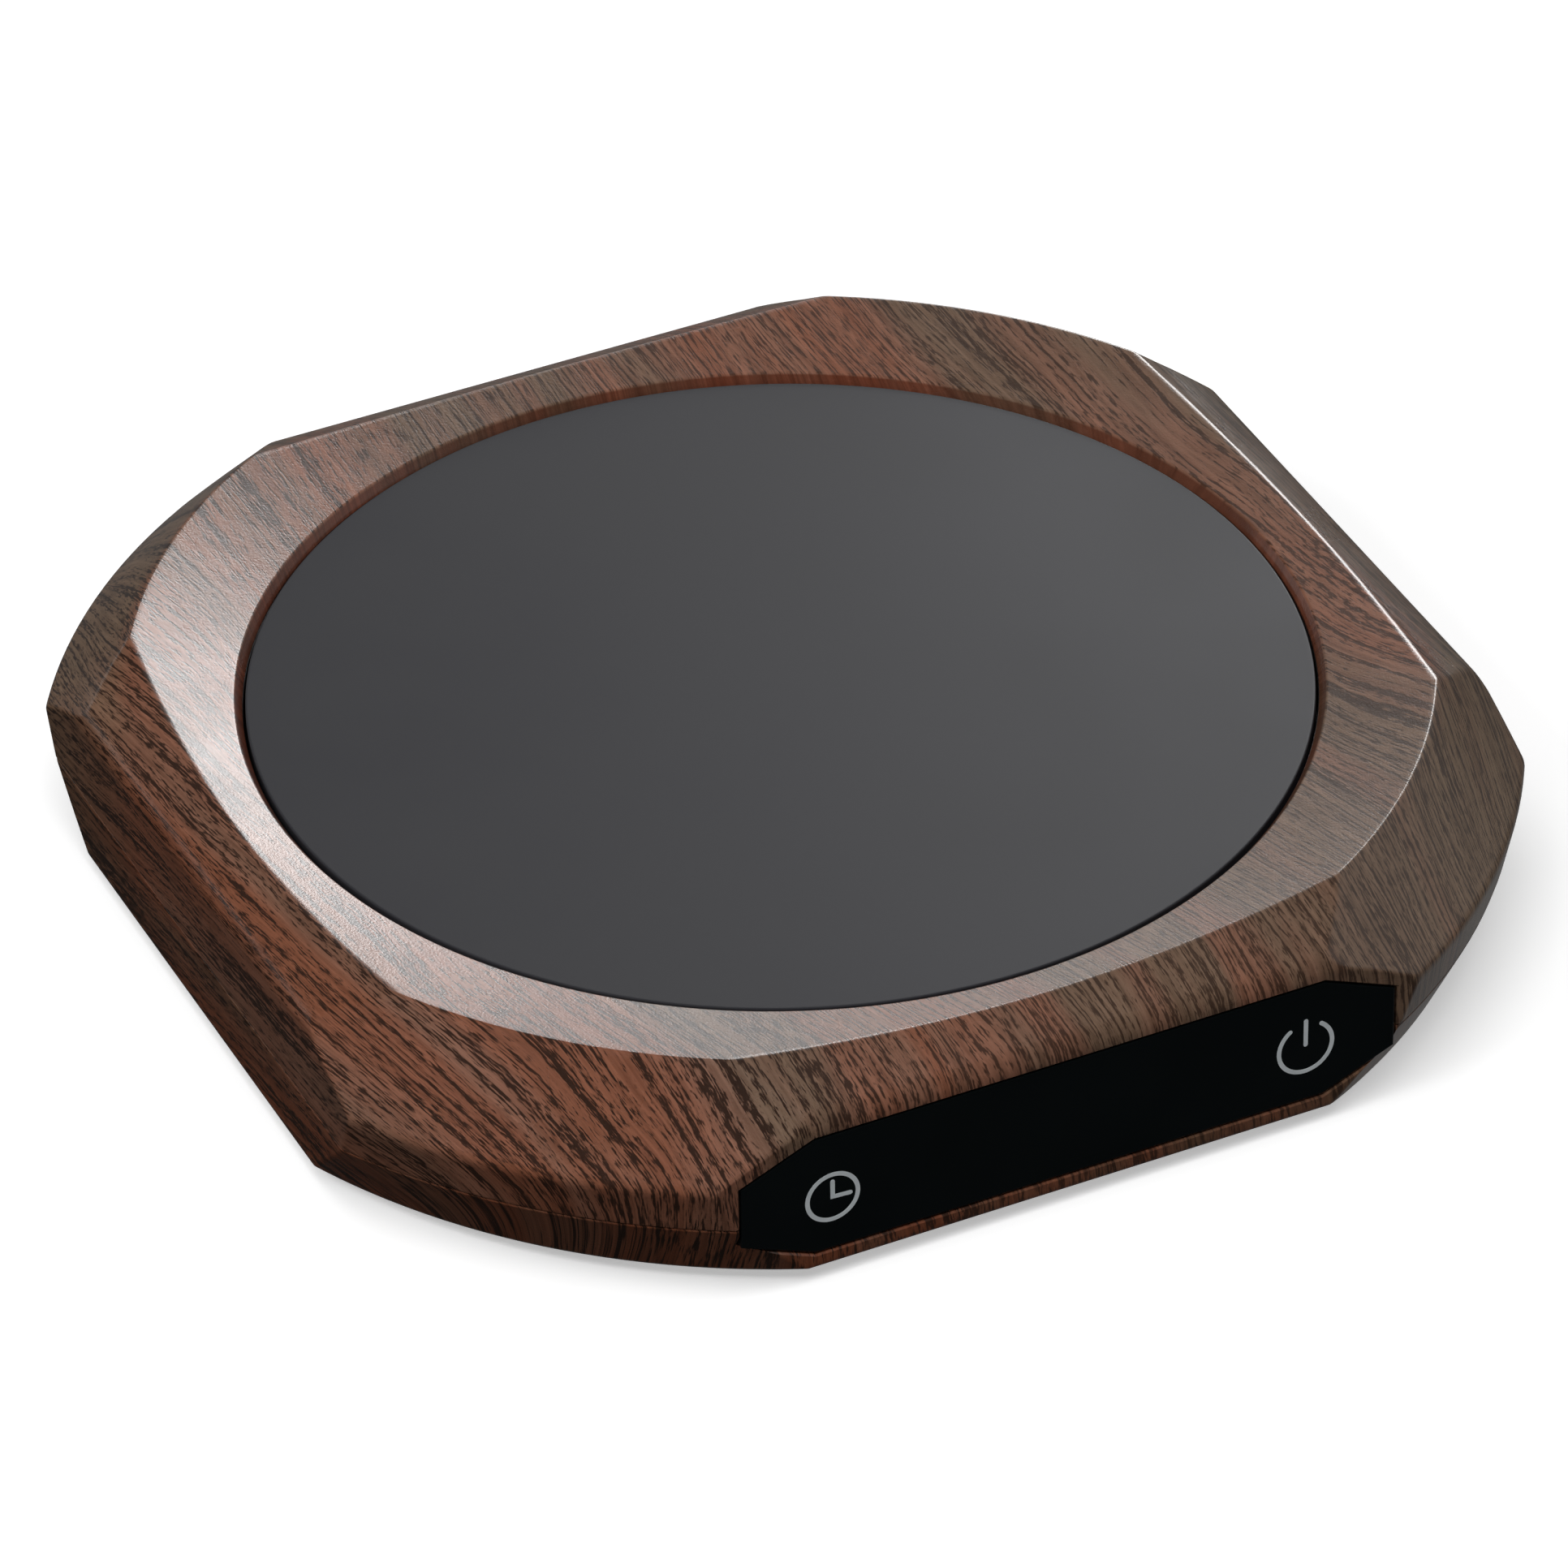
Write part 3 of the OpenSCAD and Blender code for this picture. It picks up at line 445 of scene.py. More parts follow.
def drum(centre, radius, low, high, sides=64):
    """Points and faces of an upright cylinder."""
    a = np.linspace(0, 2 * math.pi, sides, endpoint=False)
    ring = [(centre[0] + radius * math.cos(t), centre[1] + radius * math.sin(t)) for t in a]
    verts = [(x, y, low) for x, y in ring] + [(x, y, high) for x, y in ring]
    walls = [(i, (i + 1) % sides, sides + (i + 1) % sides, sides + i) for i in range(sides)]
    return verts, walls + [tuple(range(sides))[::-1], tuple(range(sides, 2 * sides))]


def joined(parts):
    """One list of points and faces from several."""
    verts, faces = [], []
    for v, f in parts:
        faces += [tuple(i + len(verts) for i in face) for face in f]
        verts += list(v)
    return verts, faces


WINDOW_W, WINDOW_H, CUT_X, CUT_Z = 65.8, 12.7, 7.3, 3.1   # its four corners are cut off
WINDOW_LIFT = 1.7                                         # from the underside to the window
WINDOW_Z = FOOT_H + WINDOW_LIFT + WINDOW_H / 2
hw, hh = WINDOW_W / 2, WINDOW_H / 2
WINDOW = [
    (x, WINDOW_Z + z) for x, z in (
        (hw, hh - CUT_Z), (hw - CUT_X, hh), (CUT_X - hw, hh), (-hw, hh - CUT_Z),
        (-hw, CUT_Z - hh), (CUT_X - hw, -hh), (hw - CUT_X, -hh), (hw, CUT_Z - hh)
    )
]
print("window corners:", [(round(x, 1), round(z, 1)) for x, z in WINDOW])

# %% Booleans
WELD = 0.0002   # corners this close are one


def weld(mesh):
    """Joins the corners that a Boolean leaves on top of each other, with the slivers between them."""
    welded = bmesh.new()
    welded.from_mesh(mesh)
    bmesh.ops.remove_doubles(welded, verts=welded.verts, dist=WELD * MM)
    bmesh.ops.dissolve_degenerate(welded, edges=welded.edges, dist=WELD * MM)
    welded.to_mesh(mesh)
    welded.free()


def cut(obj, name, verts, faces, operation="DIFFERENCE"):
    """Applies a Boolean with a closed solid to obj."""
    tool = piece(name, verts, faces)
    mod = obj.modifiers.new(name, "BOOLEAN")
    mod.operation, mod.solver, mod.object = operation, "EXACT", tool
    new = bpy.data.meshes.new_from_object(obj.evaluated_get(bpy.context.evaluated_depsgraph_get()))
    weld(new)
    obj.modifiers.clear()
    old, obj.data = obj.data, new
    new.name = obj.name
    bpy.data.meshes.remove(old)
    bpy.data.objects.remove(tool)


print("a Boolean's result is welded within", WELD, "mm")

# %% Pocket and hole in both mouldings
WINDOW_GAP, MOUTH_Y, POCKET_Y = 0.2, -59.85, -58.2   # the pocket's mouth flares from MOUTH_Y outwards
FLARE, OUTSIDE, OVERLAP = 0.16, 1.0, 0.01
INLET_Z, INLET_HOLE_R, HOLE_OUTER, HOLE_INNER = 10.0, 4.2, 61.5, 57.0


def along_y(verts, faces, z):
    """An upright cylinder laid along Y at that level."""
    return [(x, -h, y + z) for x, y, h in verts], faces


pocket = prism(grown(WINDOW, WINDOW_GAP), MOUTH_Y, POCKET_Y)
flared = prism(grown(WINDOW, WINDOW_GAP), -FLAT - OUTSIDE, MOUTH_Y + OVERLAP, FLARE + OUTSIDE)
hole = along_y(*drum((0, 0), INLET_HOLE_R, -HOLE_OUTER, -HOLE_INNER), INLET_Z)
for obj in (top, base):
    for name, solid in (("pocket", pocket), ("mouth", flared), ("inlet_hole", hole)):
        cut(obj, name, *solid)
print("upper moulding after cutting:", len(top.data.polygons), "faces")

# %% Posts, wells and seats in the lower moulding
SCREW_R, FOOT_R = 57.0, 46.5   # circles that the case screws and the feet stand on
DIAGONALS = [(sx * math.sqrt(0.5), sy * math.sqrt(0.5)) for sx in (-1, 1) for sy in (-1, 1)]
POST_R, POST_SUNK, POST_TOP = 4.2, 0.5, 6.5
WELL_R, WELL_TOP, SEAT_R, SEAT_TOP, BELOW = 3.0, 4.1, 6.1, 2.1, 0.5
BORE_R, BORE_LOW, BORE_TOP, BORE_SIDES = 1.5, 3.9, 7.5, 32


def round_row(circle_r, *sizes):
    """Four upright cylinders on the diagonals of a circle, as one solid."""
    return joined([drum((circle_r * x, circle_r * y), *sizes) for x, y in DIAGONALS])


wells = joined([round_row(SCREW_R, WELL_R, BELOW, WELL_TOP), round_row(FOOT_R, SEAT_R, BELOW, SEAT_TOP)])
cut(base, "posts", *round_row(SCREW_R, POST_R, FLOOR_TOP - POST_SUNK, POST_TOP), "UNION")
cut(base, "wells", *wells)
cut(base, "bores", *round_row(SCREW_R, BORE_R, BORE_LOW, BORE_TOP, BORE_SIDES))
print("lower moulding after cutting:", len(base.data.polygons), "faces")

# %% [markdown]
# ## Shading normals
#
# A mesh edge is either smooth or sharp, but here a face near an edge should shade exactly as the
# formula bends. So every corner that lies on the formula's surface takes the formula's slope as its
# normal, and the corners of the cut-outs keep the normals that Blender works out by angle.


# %% Normals from the formula
SLOPE_STEP, ON_SURFACE = 0.004, 0.02   # millimetres


def slope(points, distance):
    """Unit outward normal of the formula at points in millimetres."""
    steps = SLOPE_STEP * np.eye(3)
    out = np.stack([distance(points + step) - distance(points - step) for step in steps], axis=-1)
    return out / np.maximum(np.linalg.norm(out, axis=-1, keepdims=True), 1e-9)


def shade(obj, distance, bend=40):
    """Sets custom normals: the formula's where a corner lies on it, the mesh's own elsewhere."""
    mesh = obj.data
    mesh.polygons.foreach_set("use_smooth", np.ones(len(mesh.polygons), bool))
    mesh.set_sharp_from_angle(angle=math.radians(bend))
    co = np.empty(len(mesh.vertices) * 3)
    mesh.vertices.foreach_get("co", co)
    co = co.reshape(-1, 3) / MM
    index = np.empty(len(mesh.loops), int)
    mesh.loops.foreach_get("vertex_index", index)
    corner = np.empty(len(mesh.loops) * 3)
    mesh.corner_normals.foreach_get("vector", corner)
    corner = corner.reshape(-1, 3)
    flat = np.empty(len(mesh.polygons) * 3)
    mesh.polygons.foreach_get("normal", flat)
    sizes = np.empty(len(mesh.polygons), int)
    mesh.polygons.foreach_get("loop_total", sizes)
    flat = np.repeat(flat.reshape(-1, 3), sizes, axis=0)
    on_it = abs(distance(co)) < ON_SURFACE
    exact = slope(co, distance)[index]
    use = on_it[index] & ((exact * flat).sum(axis=1) > math.cos(math.radians(bend)))
    corner[use] = exact[use]
    mesh.normals_split_custom_set(corner)
    return use.mean()


shares = [shade(top, top_distance), shade(base, base_distance)]
print("corners shaded by the formula:", np.round(shares, 2))
for obj, node in ((top, "top_shell"), (base, "base_cover")):
    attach(obj, "root")
    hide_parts(node)

# %% [markdown]
# ## Finishes as node trees
#
# Every surface gets a procedural material: noise, ramps and bumps that are computed from the position
# on the object, so no picture is needed and nothing stretches. Node trees get long when each
# node and link is written out, so a small class shortens the calls. It measures position in millimetres,
# because the grain of a film or the ripple of a lacquer is easiest to think of in millimetres.


# %% A short way to write node trees
def rgb(*channels):
    """A colour in 0 to 255, as picked on a screen, turned into the linear colour of a shader."""
    linear = [((c / 255 + 0.055) / 1.055) ** 2.4 if c > 10 else c / 255 / 12.92 for c in channels]
    return (*linear, 1.0)


class Finish:
    """A material in the making: its shader, the place in millimetres, and short calls that add nodes."""

    def __init__(self, name, constants):
        self.material = bpy.data.materials.new(name)
        self.material.use_nodes = True
        self.tree = self.material.node_tree
        self.shader = self.tree.nodes["Principled BSDF"]
        for socket, value in constants.items():
            self.shader.inputs[socket].default_value = value
        place = self.node("ShaderNodeTexCoord", output="Object")
        self.place = self.node("ShaderNodeVectorMath", {0: place, "Scale": 1 / MM}, operation="SCALE")

    def node(self, kind, inputs=None, output=0, **settings):
        """Adds a node. An input takes another node's output, or a value."""
        node = self.tree.nodes.new(kind)
        for name, value in settings.items():
            setattr(node, name, value)
        for socket, value in (inputs or {}).items():
            if isinstance(value, bpy.types.NodeSocket):
                self.tree.links.new(value, node.inputs[socket])
            else:
                node.inputs[socket].default_value = value
        return node.outputs[output]

    def math(self, operation, a, b=0.0, c=0.0):
        return self.node("ShaderNodeMath", {0: a, 1: b, 2: c}, operation=operation)

    def fade(self, value, low, high, start=0.0, end=1.0, kind="LINEAR"):
        """Carries value from the range low to high over to the range start to end."""
        return self.node("ShaderNodeMapRange", {
            "Value": value, "From Min": low, "From Max": high, "To Min": start, "To Max": end
        }, interpolation_type=kind)

    def split(self, vector):
        axes = self.node("ShaderNodeSeparateXYZ", {0: vector}).node
        return axes.outputs[0], axes.outputs[1], axes.outputs[2]

    def cells(self, x, y, z, size):
        """A vector whose unit steps are size[0] by size[1] by size[2] millimetres."""
        return self.node("ShaderNodeCombineXYZ", {
            i: self.math("DIVIDE", axis, step) for i, (axis, step) in enumerate(zip((x, y, z), size))
        })

    def noise(self, vector, detail=2.0, rough=0.5, scale=1.0):
        return self.node("ShaderNodeTexNoise", {
            "Vector": vector, "Scale": scale, "Detail": detail, "Roughness": rough
        })

    def ramp(self, value, stops):
        """Colours at places from 0 to 1, blended between."""
        color = self.node("ShaderNodeValToRGB", {0: value})
        elements = color.node.color_ramp.elements
        for _ in stops[2:]:
            elements.new(0.5)
        for element, (at, shade) in zip(elements, stops):
            element.position, element.color = at, shade
        return color

    def mix(self, amount, a, b, kind="MIX"):
        inputs = {0: amount, 6: a, 7: b}
        return self.node("ShaderNodeMix", inputs, output=2, data_type="RGBA", blend_type=kind)

    def relief(self, height, depth, under=None):
        """A bump whose full height is depth millimetres."""
        inputs = {"Height": height, "Distance": depth * MM, "Strength": 1.0}
        if under:
            inputs["Normal"] = under
        return self.node("ShaderNodeBump", inputs)

    def set(self, **links):
        """Links outputs to the shader, such as Base_Color=color, and returns the material."""
        for socket, value in links.items():
            self.tree.links.new(value, self.shader.inputs[socket.replace("_", " ")])
        return self.material


def wear(obj, material):
    """Gives a new piece its only material."""
    obj.data.materials.clear()
    obj.data.materials.append(material)


print("walnut brown in linear light:", np.round(rgb(122, 72, 52), 3))

# %% [markdown]
# ## Walnut film
#
# The housing isn't wood. It is plastic with a printed film that was wrapped over it in one piece: its grain
# runs from front to back over the top, and bends down over the walls without a joint. So the pattern
# lives in unrolled coordinates, across and along, that grow with depth once a wall is reached.
# The print itself is stretched noise: colour zones and a fine streak, and over them dark stripes that
# are made of short dashes, so their edges fray. Where stripes are weak, only single dashes are left.
# Outside the rim the film turns grey towards the right and the back: this is painted reflection, for the
# pale haze that the lacquer mirrors on that side. The lip round the glass is hardly printed, and darker
# with painted shade where it slopes down into the gap. The lacquer has a faint ripple and a fine grit,
# which breaks up its reflections.


# %% Walnut
def walnut(name, zones, grey, dark, shift):
    """The printed film, with painted reflection and shade. shift moves the print so that two mouldings
    don't carry the same one.
    """
    f = Finish(name, {"IOR": 1.5, "Specular IOR Level": 0.8})
    x, y, z = f.split(f.place)
    radius = f.math("POWER", f.math("MULTIPLY_ADD", x, x, f.math("MULTIPLY", y, y)), 0.5)
    depth = f.math("SUBTRACT", LIP_Z, z)

    def unrolled(axis):
        turn = f.fade(f.math("ABSOLUTE", axis), 36, 56, kind="SMOOTHSTEP")
        return f.math("MULTIPLY_ADD", f.math("MULTIPLY", turn, f.math("SIGN", axis)), depth, axis)

    across, along = unrolled(x), unrolled(y)
    sway = f.noise(f.cells(across, along, shift, (16, 50, 1)), 2)
    across = f.math("MULTIPLY_ADD", sway, 6.0, f.math("MULTIPLY_ADD", along, 0.14, across))

    def grain(width, length, detail, seed, rough=0.55):
        return f.noise(f.cells(across, along, seed + shift, (width, length, 1)), detail, rough)

    # colour zones; outside the rim, painted reflection: the colour turns grey towards the right and the
    # back, for the lacquer's pale haze
    zone = f.math("MULTIPLY_ADD", x, -0.0024, f.fade(grain(8, 90, 2, 1.3), 0.22, 0.78, 0.12, 0.9))
    far = f.math("MAXIMUM", f.fade(x, 30, 50), f.fade(y, 12, 36))
    painted_haze = f.math("MULTIPLY", f.fade(radius, 60.5, 62.5), far)
    color = f.mix(f.math("MULTIPLY", painted_haze, 0.85), f.ramp(zone, zones), grey)

    # a fine streak
    fine = f.fade(grain(0.45, 11, 4, 8.0, 0.65), 0.33, 0.67)
    streak = f.ramp(fine, [(0.0, (0.66, 0.62, 0.59, 1)), (1.0, (1.2, 1.2, 1.2, 1))])
    color = f.mix(1.0, color, streak, "MULTIPLY")

    # dark stripes of short dashes, coarser at the left
    coarse, close = grain(0.7, 34, 3, 13.0, 0.7), grain(0.4, 50, 2, 17.0, 0.6)
    stripes = f.math("MULTIPLY_ADD", f.fade(x, -34, -10), f.math("SUBTRACT", close, coarse), coarse)
    stripes = f.math("MULTIPLY_ADD", grain(0.2, 1.8, 2, 21.0, 0.6), 0.75, stripes)
    printed = f.math("MULTIPLY", f.fade(stripes, 0.87, 0.95), f.fade(x, -30, 0, 0.95, 0.78))

    # the lip, hardly printed, and darkened with painted shade where it slopes down into the gap by the
    # glass
    within = f.fade(radius, LIP_R + LIP_BROAD - 0.15, LIP_R + LIP_BROAD, 1.0, 0.0)
    lip = f.math("MULTIPLY", within, f.fade(z, 17, 18))
    printed = f.math("MULTIPLY", printed, f.fade(lip, 0, 1, 1.0, 0.25))
    color = f.mix(printed, color, dark)
    color = f.mix(lip, color, (0.58, 0.42, 0.37, 1), "MULTIPLY")

    # lacquer
    grit = f.noise(f.place, 1, 0.5, 4.5)
    ripple = f.noise(f.place, 2, 0.5, 0.4)
    bump = f.relief(grit, 0.018, f.relief(ripple, 0.02, f.relief(f.math("SUBTRACT", fine, printed), 0.003)))
    gloss = f.fade(f.noise(f.place, 2, 0.5, 0.11), 0.3, 0.7, 0.26, 0.30)
    return f.set(Base_Color=color, Roughness=gloss, Normal=bump)


ZONES = [
    (0.30, rgb(116, 93, 76)),
    (0.44, rgb(124, 91, 74)),
    (0.58, rgb(136, 94, 75)),
    (0.74, rgb(135, 85, 63))
]
# the lower moulding takes a darker, warmer copy of the film: painted shade on the lower half of the housing
ZONES_SHADED = [(at, (0.8 * shade[0], 0.7 * shade[1], 0.62 * shade[2], 1)) for at, shade in ZONES]
wear(top, walnut("walnut_film", ZONES, rgb(118, 98, 78), rgb(46, 31, 24), 0.0))
wear(base, walnut("walnut_film_dark", ZONES_SHADED, rgb(98, 80, 62), rgb(40, 27, 20), 5.0))
print("walnut nodes:", len(top.data.materials[0].node_tree.nodes))

# %% [markdown]
# ## Glass plate and its dark ring
#
# The plate is a disc of black ceramic glass with ground edges, and a black silicone ring fills the gap to
# the rim. Both are turned shapes, so each is a section spun round the middle. The corners are rounded in
# the section, with a guard row just before and after, so that flat faces stay flat when they are shaded.


# %% Turned pieces
def rounded_section(points, radii, steps=5, guard=0.08):
    """A section line with its inner corners rounded, and guard rows beside each rounding."""
    p = [Vector(q) for q in points]
    out = [p[0]]
    for before, corner, after, radius in zip(p, p[1:], p[2:], radii):
        a, b = before - corner, after - corner
        if radius:
            reach = radius / math.tan(a.angle(b) / 2)
            start, end = corner + a.normalized() * reach, corner + b.normalized() * reach
            out.append(start + a.normalized() * guard)
            for t in np.linspace(0, 1, steps + 1):
                out.append(start.lerp(corner, t).lerp(corner.lerp(end, t), t))
            out.append(end + b.normalized() * guard)
        else:
            out.append(corner)
    return [(q.x, q.y) for q in out + [p[-1]]]


def spin(section, sides=128, closed=False):
    """Points and faces of a section of (radius, level) spun round the Z axis. It runs up the outside."""
    a = np.linspace(0, 2 * math.pi, sides, endpoint=False)
    rows = section if closed else section[1:-1]
    n = len(rows)
    verts = [(r * math.cos(t), r * math.sin(t), z) for t in a for r, z in rows]
    faces = []
    for c in range(sides):
        d = (c + 1) % sides
        for i in range(n if closed else n - 1):
            j = (i + 1) % n
            faces.append((c * n + i, d * n + i, d * n + j, c * n + j))
        if not closed:
            faces += [(sides * n, d * n, c * n), (sides * n + 1, c * n + n - 1, d * n + n - 1)]
    if not closed:
        verts += [(0, 0, section[0][1]), (0, 0, section[-1][1])]
    return verts, faces


def smooth(obj, bend=35):
    """Smooth shading, with sharp edges where faces turn by more than bend degrees."""
    mesh = obj.data
    mesh.polygons.foreach_set("use_smooth", np.ones(len(mesh.polygons), bool))
    mesh.set_sharp_from_angle(angle=math.radians(bend))
    return obj


def settle(obj, material, slot, *nodes):
    """obj rides on the body, wears the material and stands for these CAD nodes."""
    wear(obj, material)
    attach(obj, "root")
    if nodes:
        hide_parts(*nodes)
    return obj


def turned(name, points, radii, sides):
    """A piece spun from a section with rounded corners."""
    return piece(name, *spin(rounded_section(points, radii), sides))


print("rows of a rounded corner:", len(rounded_section([(0, 0), (1, 0), (1, 1)], (0.5,))) - 2)

# %% Glass and ring
PLATE_R, GLASS_LOW, GLASS_TOP = 50.0, 16.1, 19.1
SEAL_TOP = GLASS_TOP - 0.7
SEAL_IN, SEAL_STEP, SEAL_OUT = LEDGE_R + 0.3, PLATE_R + 0.2, LIP_R - 0.05
glass = smooth(turned("glass", [
    (0, GLASS_LOW), (PLATE_R, GLASS_LOW), (PLATE_R, GLASS_TOP), (0, GLASS_TOP)
], (0.4, 0.18), 256))
seal_section = rounded_section([
    (SEAL_IN, LEDGE_HIGH), (SEAL_OUT, LEDGE_HIGH), (SEAL_OUT, SEAL_TOP),
    (SEAL_STEP, SEAL_TOP), (SEAL_STEP, GLASS_LOW), (SEAL_IN, GLASS_LOW)
], (0.1, 0.2, 0.2, 0.1), steps=3, guard=0.03)
seal = smooth(piece("seal", *spin(seal_section, 192, closed=True)))
print("glass:", len(glass.data.polygons), "faces, ring:", len(seal.data.polygons), "faces")

# %% [markdown]
# The glass is not a mirror: its top is finely etched, so it shows the room only as a broad soft gradient.
# A medium roughness does that, and a little variation keeps the highlight from looking computed.
# The silicone is almost black, and dull.


# %% Glass and silicone
def etched_glass():
    f = Finish("black_glass", {"IOR": 1.52, "Specular IOR Level": 0.12})
    cloud = f.noise(f.place, 3, 0.5, 0.04)
    grit = f.noise(f.place, 2, 0.5, 9.0)
    color = f.ramp(cloud, [(0.3, rgb(50, 50, 54)), (0.7, rgb(54, 54, 57))])
    gloss = f.fade(cloud, 0.3, 0.7, 0.42, 0.48)
    return f.set(Base_Color=color, Roughness=gloss, Normal=f.relief(grit, 0.0006))


def rubbery(name, dark, light, rough, grit=4.0, depth=0.01):
    """Moulded rubber or matt plastic: two close shades and a fine grain."""
    f = Finish(name, {"IOR": 1.45})
    cloud = f.noise(f.place, 4, 0.6, 0.6)
    color = f.ramp(cloud, [(0.3, dark), (0.7, light)])
    gloss = f.fade(cloud, 0.3, 0.7, rough - 0.06, rough + 0.06)
    return f.set(Base_Color=color, Roughness=gloss, Normal=f.relief(f.noise(f.place, 3, 0.6, grit), depth))


settle(glass, etched_glass(), "black_glass", "glass_plate")
settle(seal, rubbery("silicone_black", rgb(8, 8, 8), rgb(14, 14, 14), 0.6), "silicone_black", "plate_seal")
print("finishes so far:", len(bpy.data.materials))

# %% [markdown]
# ## Window and symbols
#
# The window is a smoked plate let into the front wall. Its front edge is only just broken, which gives the
# thin glint along its outline. The timer and power symbols are printed: thin flat strokes of
# one width with round ends, laid just proud of the plate, as screen ink is.

# %% Window plate
WINDOW_FRONT, WINDOW_BACK, BREAK = -59.9, -58.4, 0.12
levels = [
    (grown(WINDOW, -BREAK), WINDOW_FRONT),
    (grown(WINDOW, -BREAK * 0.3), WINDOW_FRONT + BREAK * 0.3),
    (WINDOW, WINDOW_FRONT + BREAK),
    (WINDOW, WINDOW_BACK)
]
n, last = len(WINDOW), len(levels) - 1
faces = [
    ((k + 1) * n + i, (k + 1) * n + (i + 1) % n, k * n + (i + 1) % n, k * n + i)
    for k in range(last) for i in range(n)
]
faces += [tuple(range(n)), tuple(range(last * n, last * n + n))[::-1]]
window = smooth(piece("window", [(x, y, z) for outline, y in levels for x, z in outline], faces), 15)
print("window:", len(window.data.polygons), "faces")


# %% Strokes
def stroke(points, width, y, depth, closed=False):
    """A flat stroke along points in X and Z with round ends, as points and faces of a thin solid."""
    p = [Vector(q) for q in points]
    n = len(p)
    left, right = [], []
    for i in range(n):
        ahead = (p[(i + 1) % n] - p[i]) if closed or i < n - 1 else p[i] - p[i - 1]
        behind = (p[i] - p[i - 1]) if closed or i else ahead
        way = (ahead.normalized() + behind.normalized()).normalized()
        side = Vector((-way.y, way.x)) * (width / 2) / way.dot(ahead.normalized())
        left.append(p[i] + side)
        right.append(p[i] - side)
    if closed:
        rim, loops = right + left, [list(range(n)), list(range(2 * n - 1, n - 1, -1))]
        flat = [(i, (i + 1) % n, n + (i + 1) % n, n + i) for i in range(n)]
    else:
        def cap(centre, way):
            start = math.atan2(way.y, way.x) - math.pi / 2
            turn = [start + math.pi * k / 10 for k in range(1, 10)]
            return [centre + Vector((math.cos(t), math.sin(t))) * width / 2 for t in turn]

        rim = right + cap(p[-1], p[-1] - p[-2]) + left[::-1] + cap(p[0], p[0] - p[1])
        flat, loops = [tuple(range(len(rim)))], [list(range(len(rim)))]
    m = len(rim)
    verts = [(q.x, y, q.y) for q in rim] + [(q.x, y + depth, q.y) for q in rim]
    faces = flat + [tuple(i + m for i in f[::-1]) for f in flat]
    for loop in loops:
        faces += [(a, a + m, b + m, b) for a, b in zip(loop, loop[1:] + loop[:1])]
    return verts, faces


def arc(centre, radius, start, end, count):
    """Points of an arc in degrees, anticlockwise from start to end."""
    turn = [math.radians(t) for t in np.linspace(start, end, count)]
    return [(centre[0] + radius * math.cos(t), centre[1] + radius * math.sin(t)) for t in turn]


STROKE, INK_Y, INK = 0.44, WINDOW_FRONT - 0.03, 0.06
TIMER, POWER, OPENING = (-23.9, 9.0), (23.75, 9.2), 36   # middles, and half the ring's opening in degrees
ring = arc(TIMER, 2.5, 0, 360, 73)[:-1]
hands = [(TIMER[0], TIMER[1] + 1.7), TIMER, (TIMER[0] + 1.75, TIMER[1] - 0.1)]
open_ring = arc(POWER, 2.72, 90 + OPENING, 450 - OPENING, 60)
bar = [(POWER[0], POWER[1] + 0.3), (POWER[0], POWER[1] + 2.95)]
timer = [stroke(ring, STROKE, INK_Y, INK, closed=True), stroke(hands, STROKE, INK_Y, INK)]
power = [stroke(open_ring, STROKE, INK_Y, INK), stroke(bar, STROKE, INK_Y, INK)]
symbols = [
    smooth(piece("timer_symbol", *joined(timer))),
    smooth(piece("power_symbol", *joined(power)))
]
print("symbols:", [len(s.data.polygons) for s in symbols], "faces")


# %% Smoked plate and ink
def smoked():
    f = Finish("window_smoke", {"IOR": 1.49, "Specular IOR Level": 0.22})
    cloud = f.noise(f.place, 3, 0.5, 0.08)
    color = f.ramp(cloud, [(0.3, rgb(15, 19, 20)), (0.7, rgb(18, 22, 23))])
    return f.set(Base_Color=color, Roughness=f.fade(cloud, 0.3, 0.7, 0.10, 0.16))


settle(window, smoked(), "window_smoke", "front_window")
ink = rubbery("symbol_ink", rgb(212, 219, 222), rgb(224, 230, 233), 0.5, 6.0, 0.004)
for symbol in symbols:
    settle(symbol, ink, "window_smoke")
print("window z:", round(WINDOW_Z - hh, 2), "to", round(WINDOW_Z + hh, 2))

# %% [markdown]
# ## Power inlet
#
# The inlet is a moulded block inside the back wall with a round nose that fills the wall's hole. Its
# mouth opens with a small lead-in to a bore, and a plated pin stands in the middle. The block is a prism,
# the nose is added to it and the bore taken out of it by Booleans, so the result is one closed piece.

# %% Inlet and pin
INLET_BACK, INLET_FACE, NOSE_FACE, SOCKET_L = 46.6, 57.6, 59.7, 9.5
BLOCK_W, BLOCK_H, BLOCK_CUT = 4.5, 3.9, 0.8
NOSE_R, BORE_IN_R, BORE_MOUTH_R, LEAD_IN = 4.0, 2.9, 3.2, 0.15
PIN_R, PIN_END = 1.0, 57.9


def lengthwise(verts, faces):
    """A shape spun round Z, laid along Y at the inlet's level. Its level becomes its place on Y."""
    return [(x, level, INLET_Z - y) for x, y, level in verts], faces


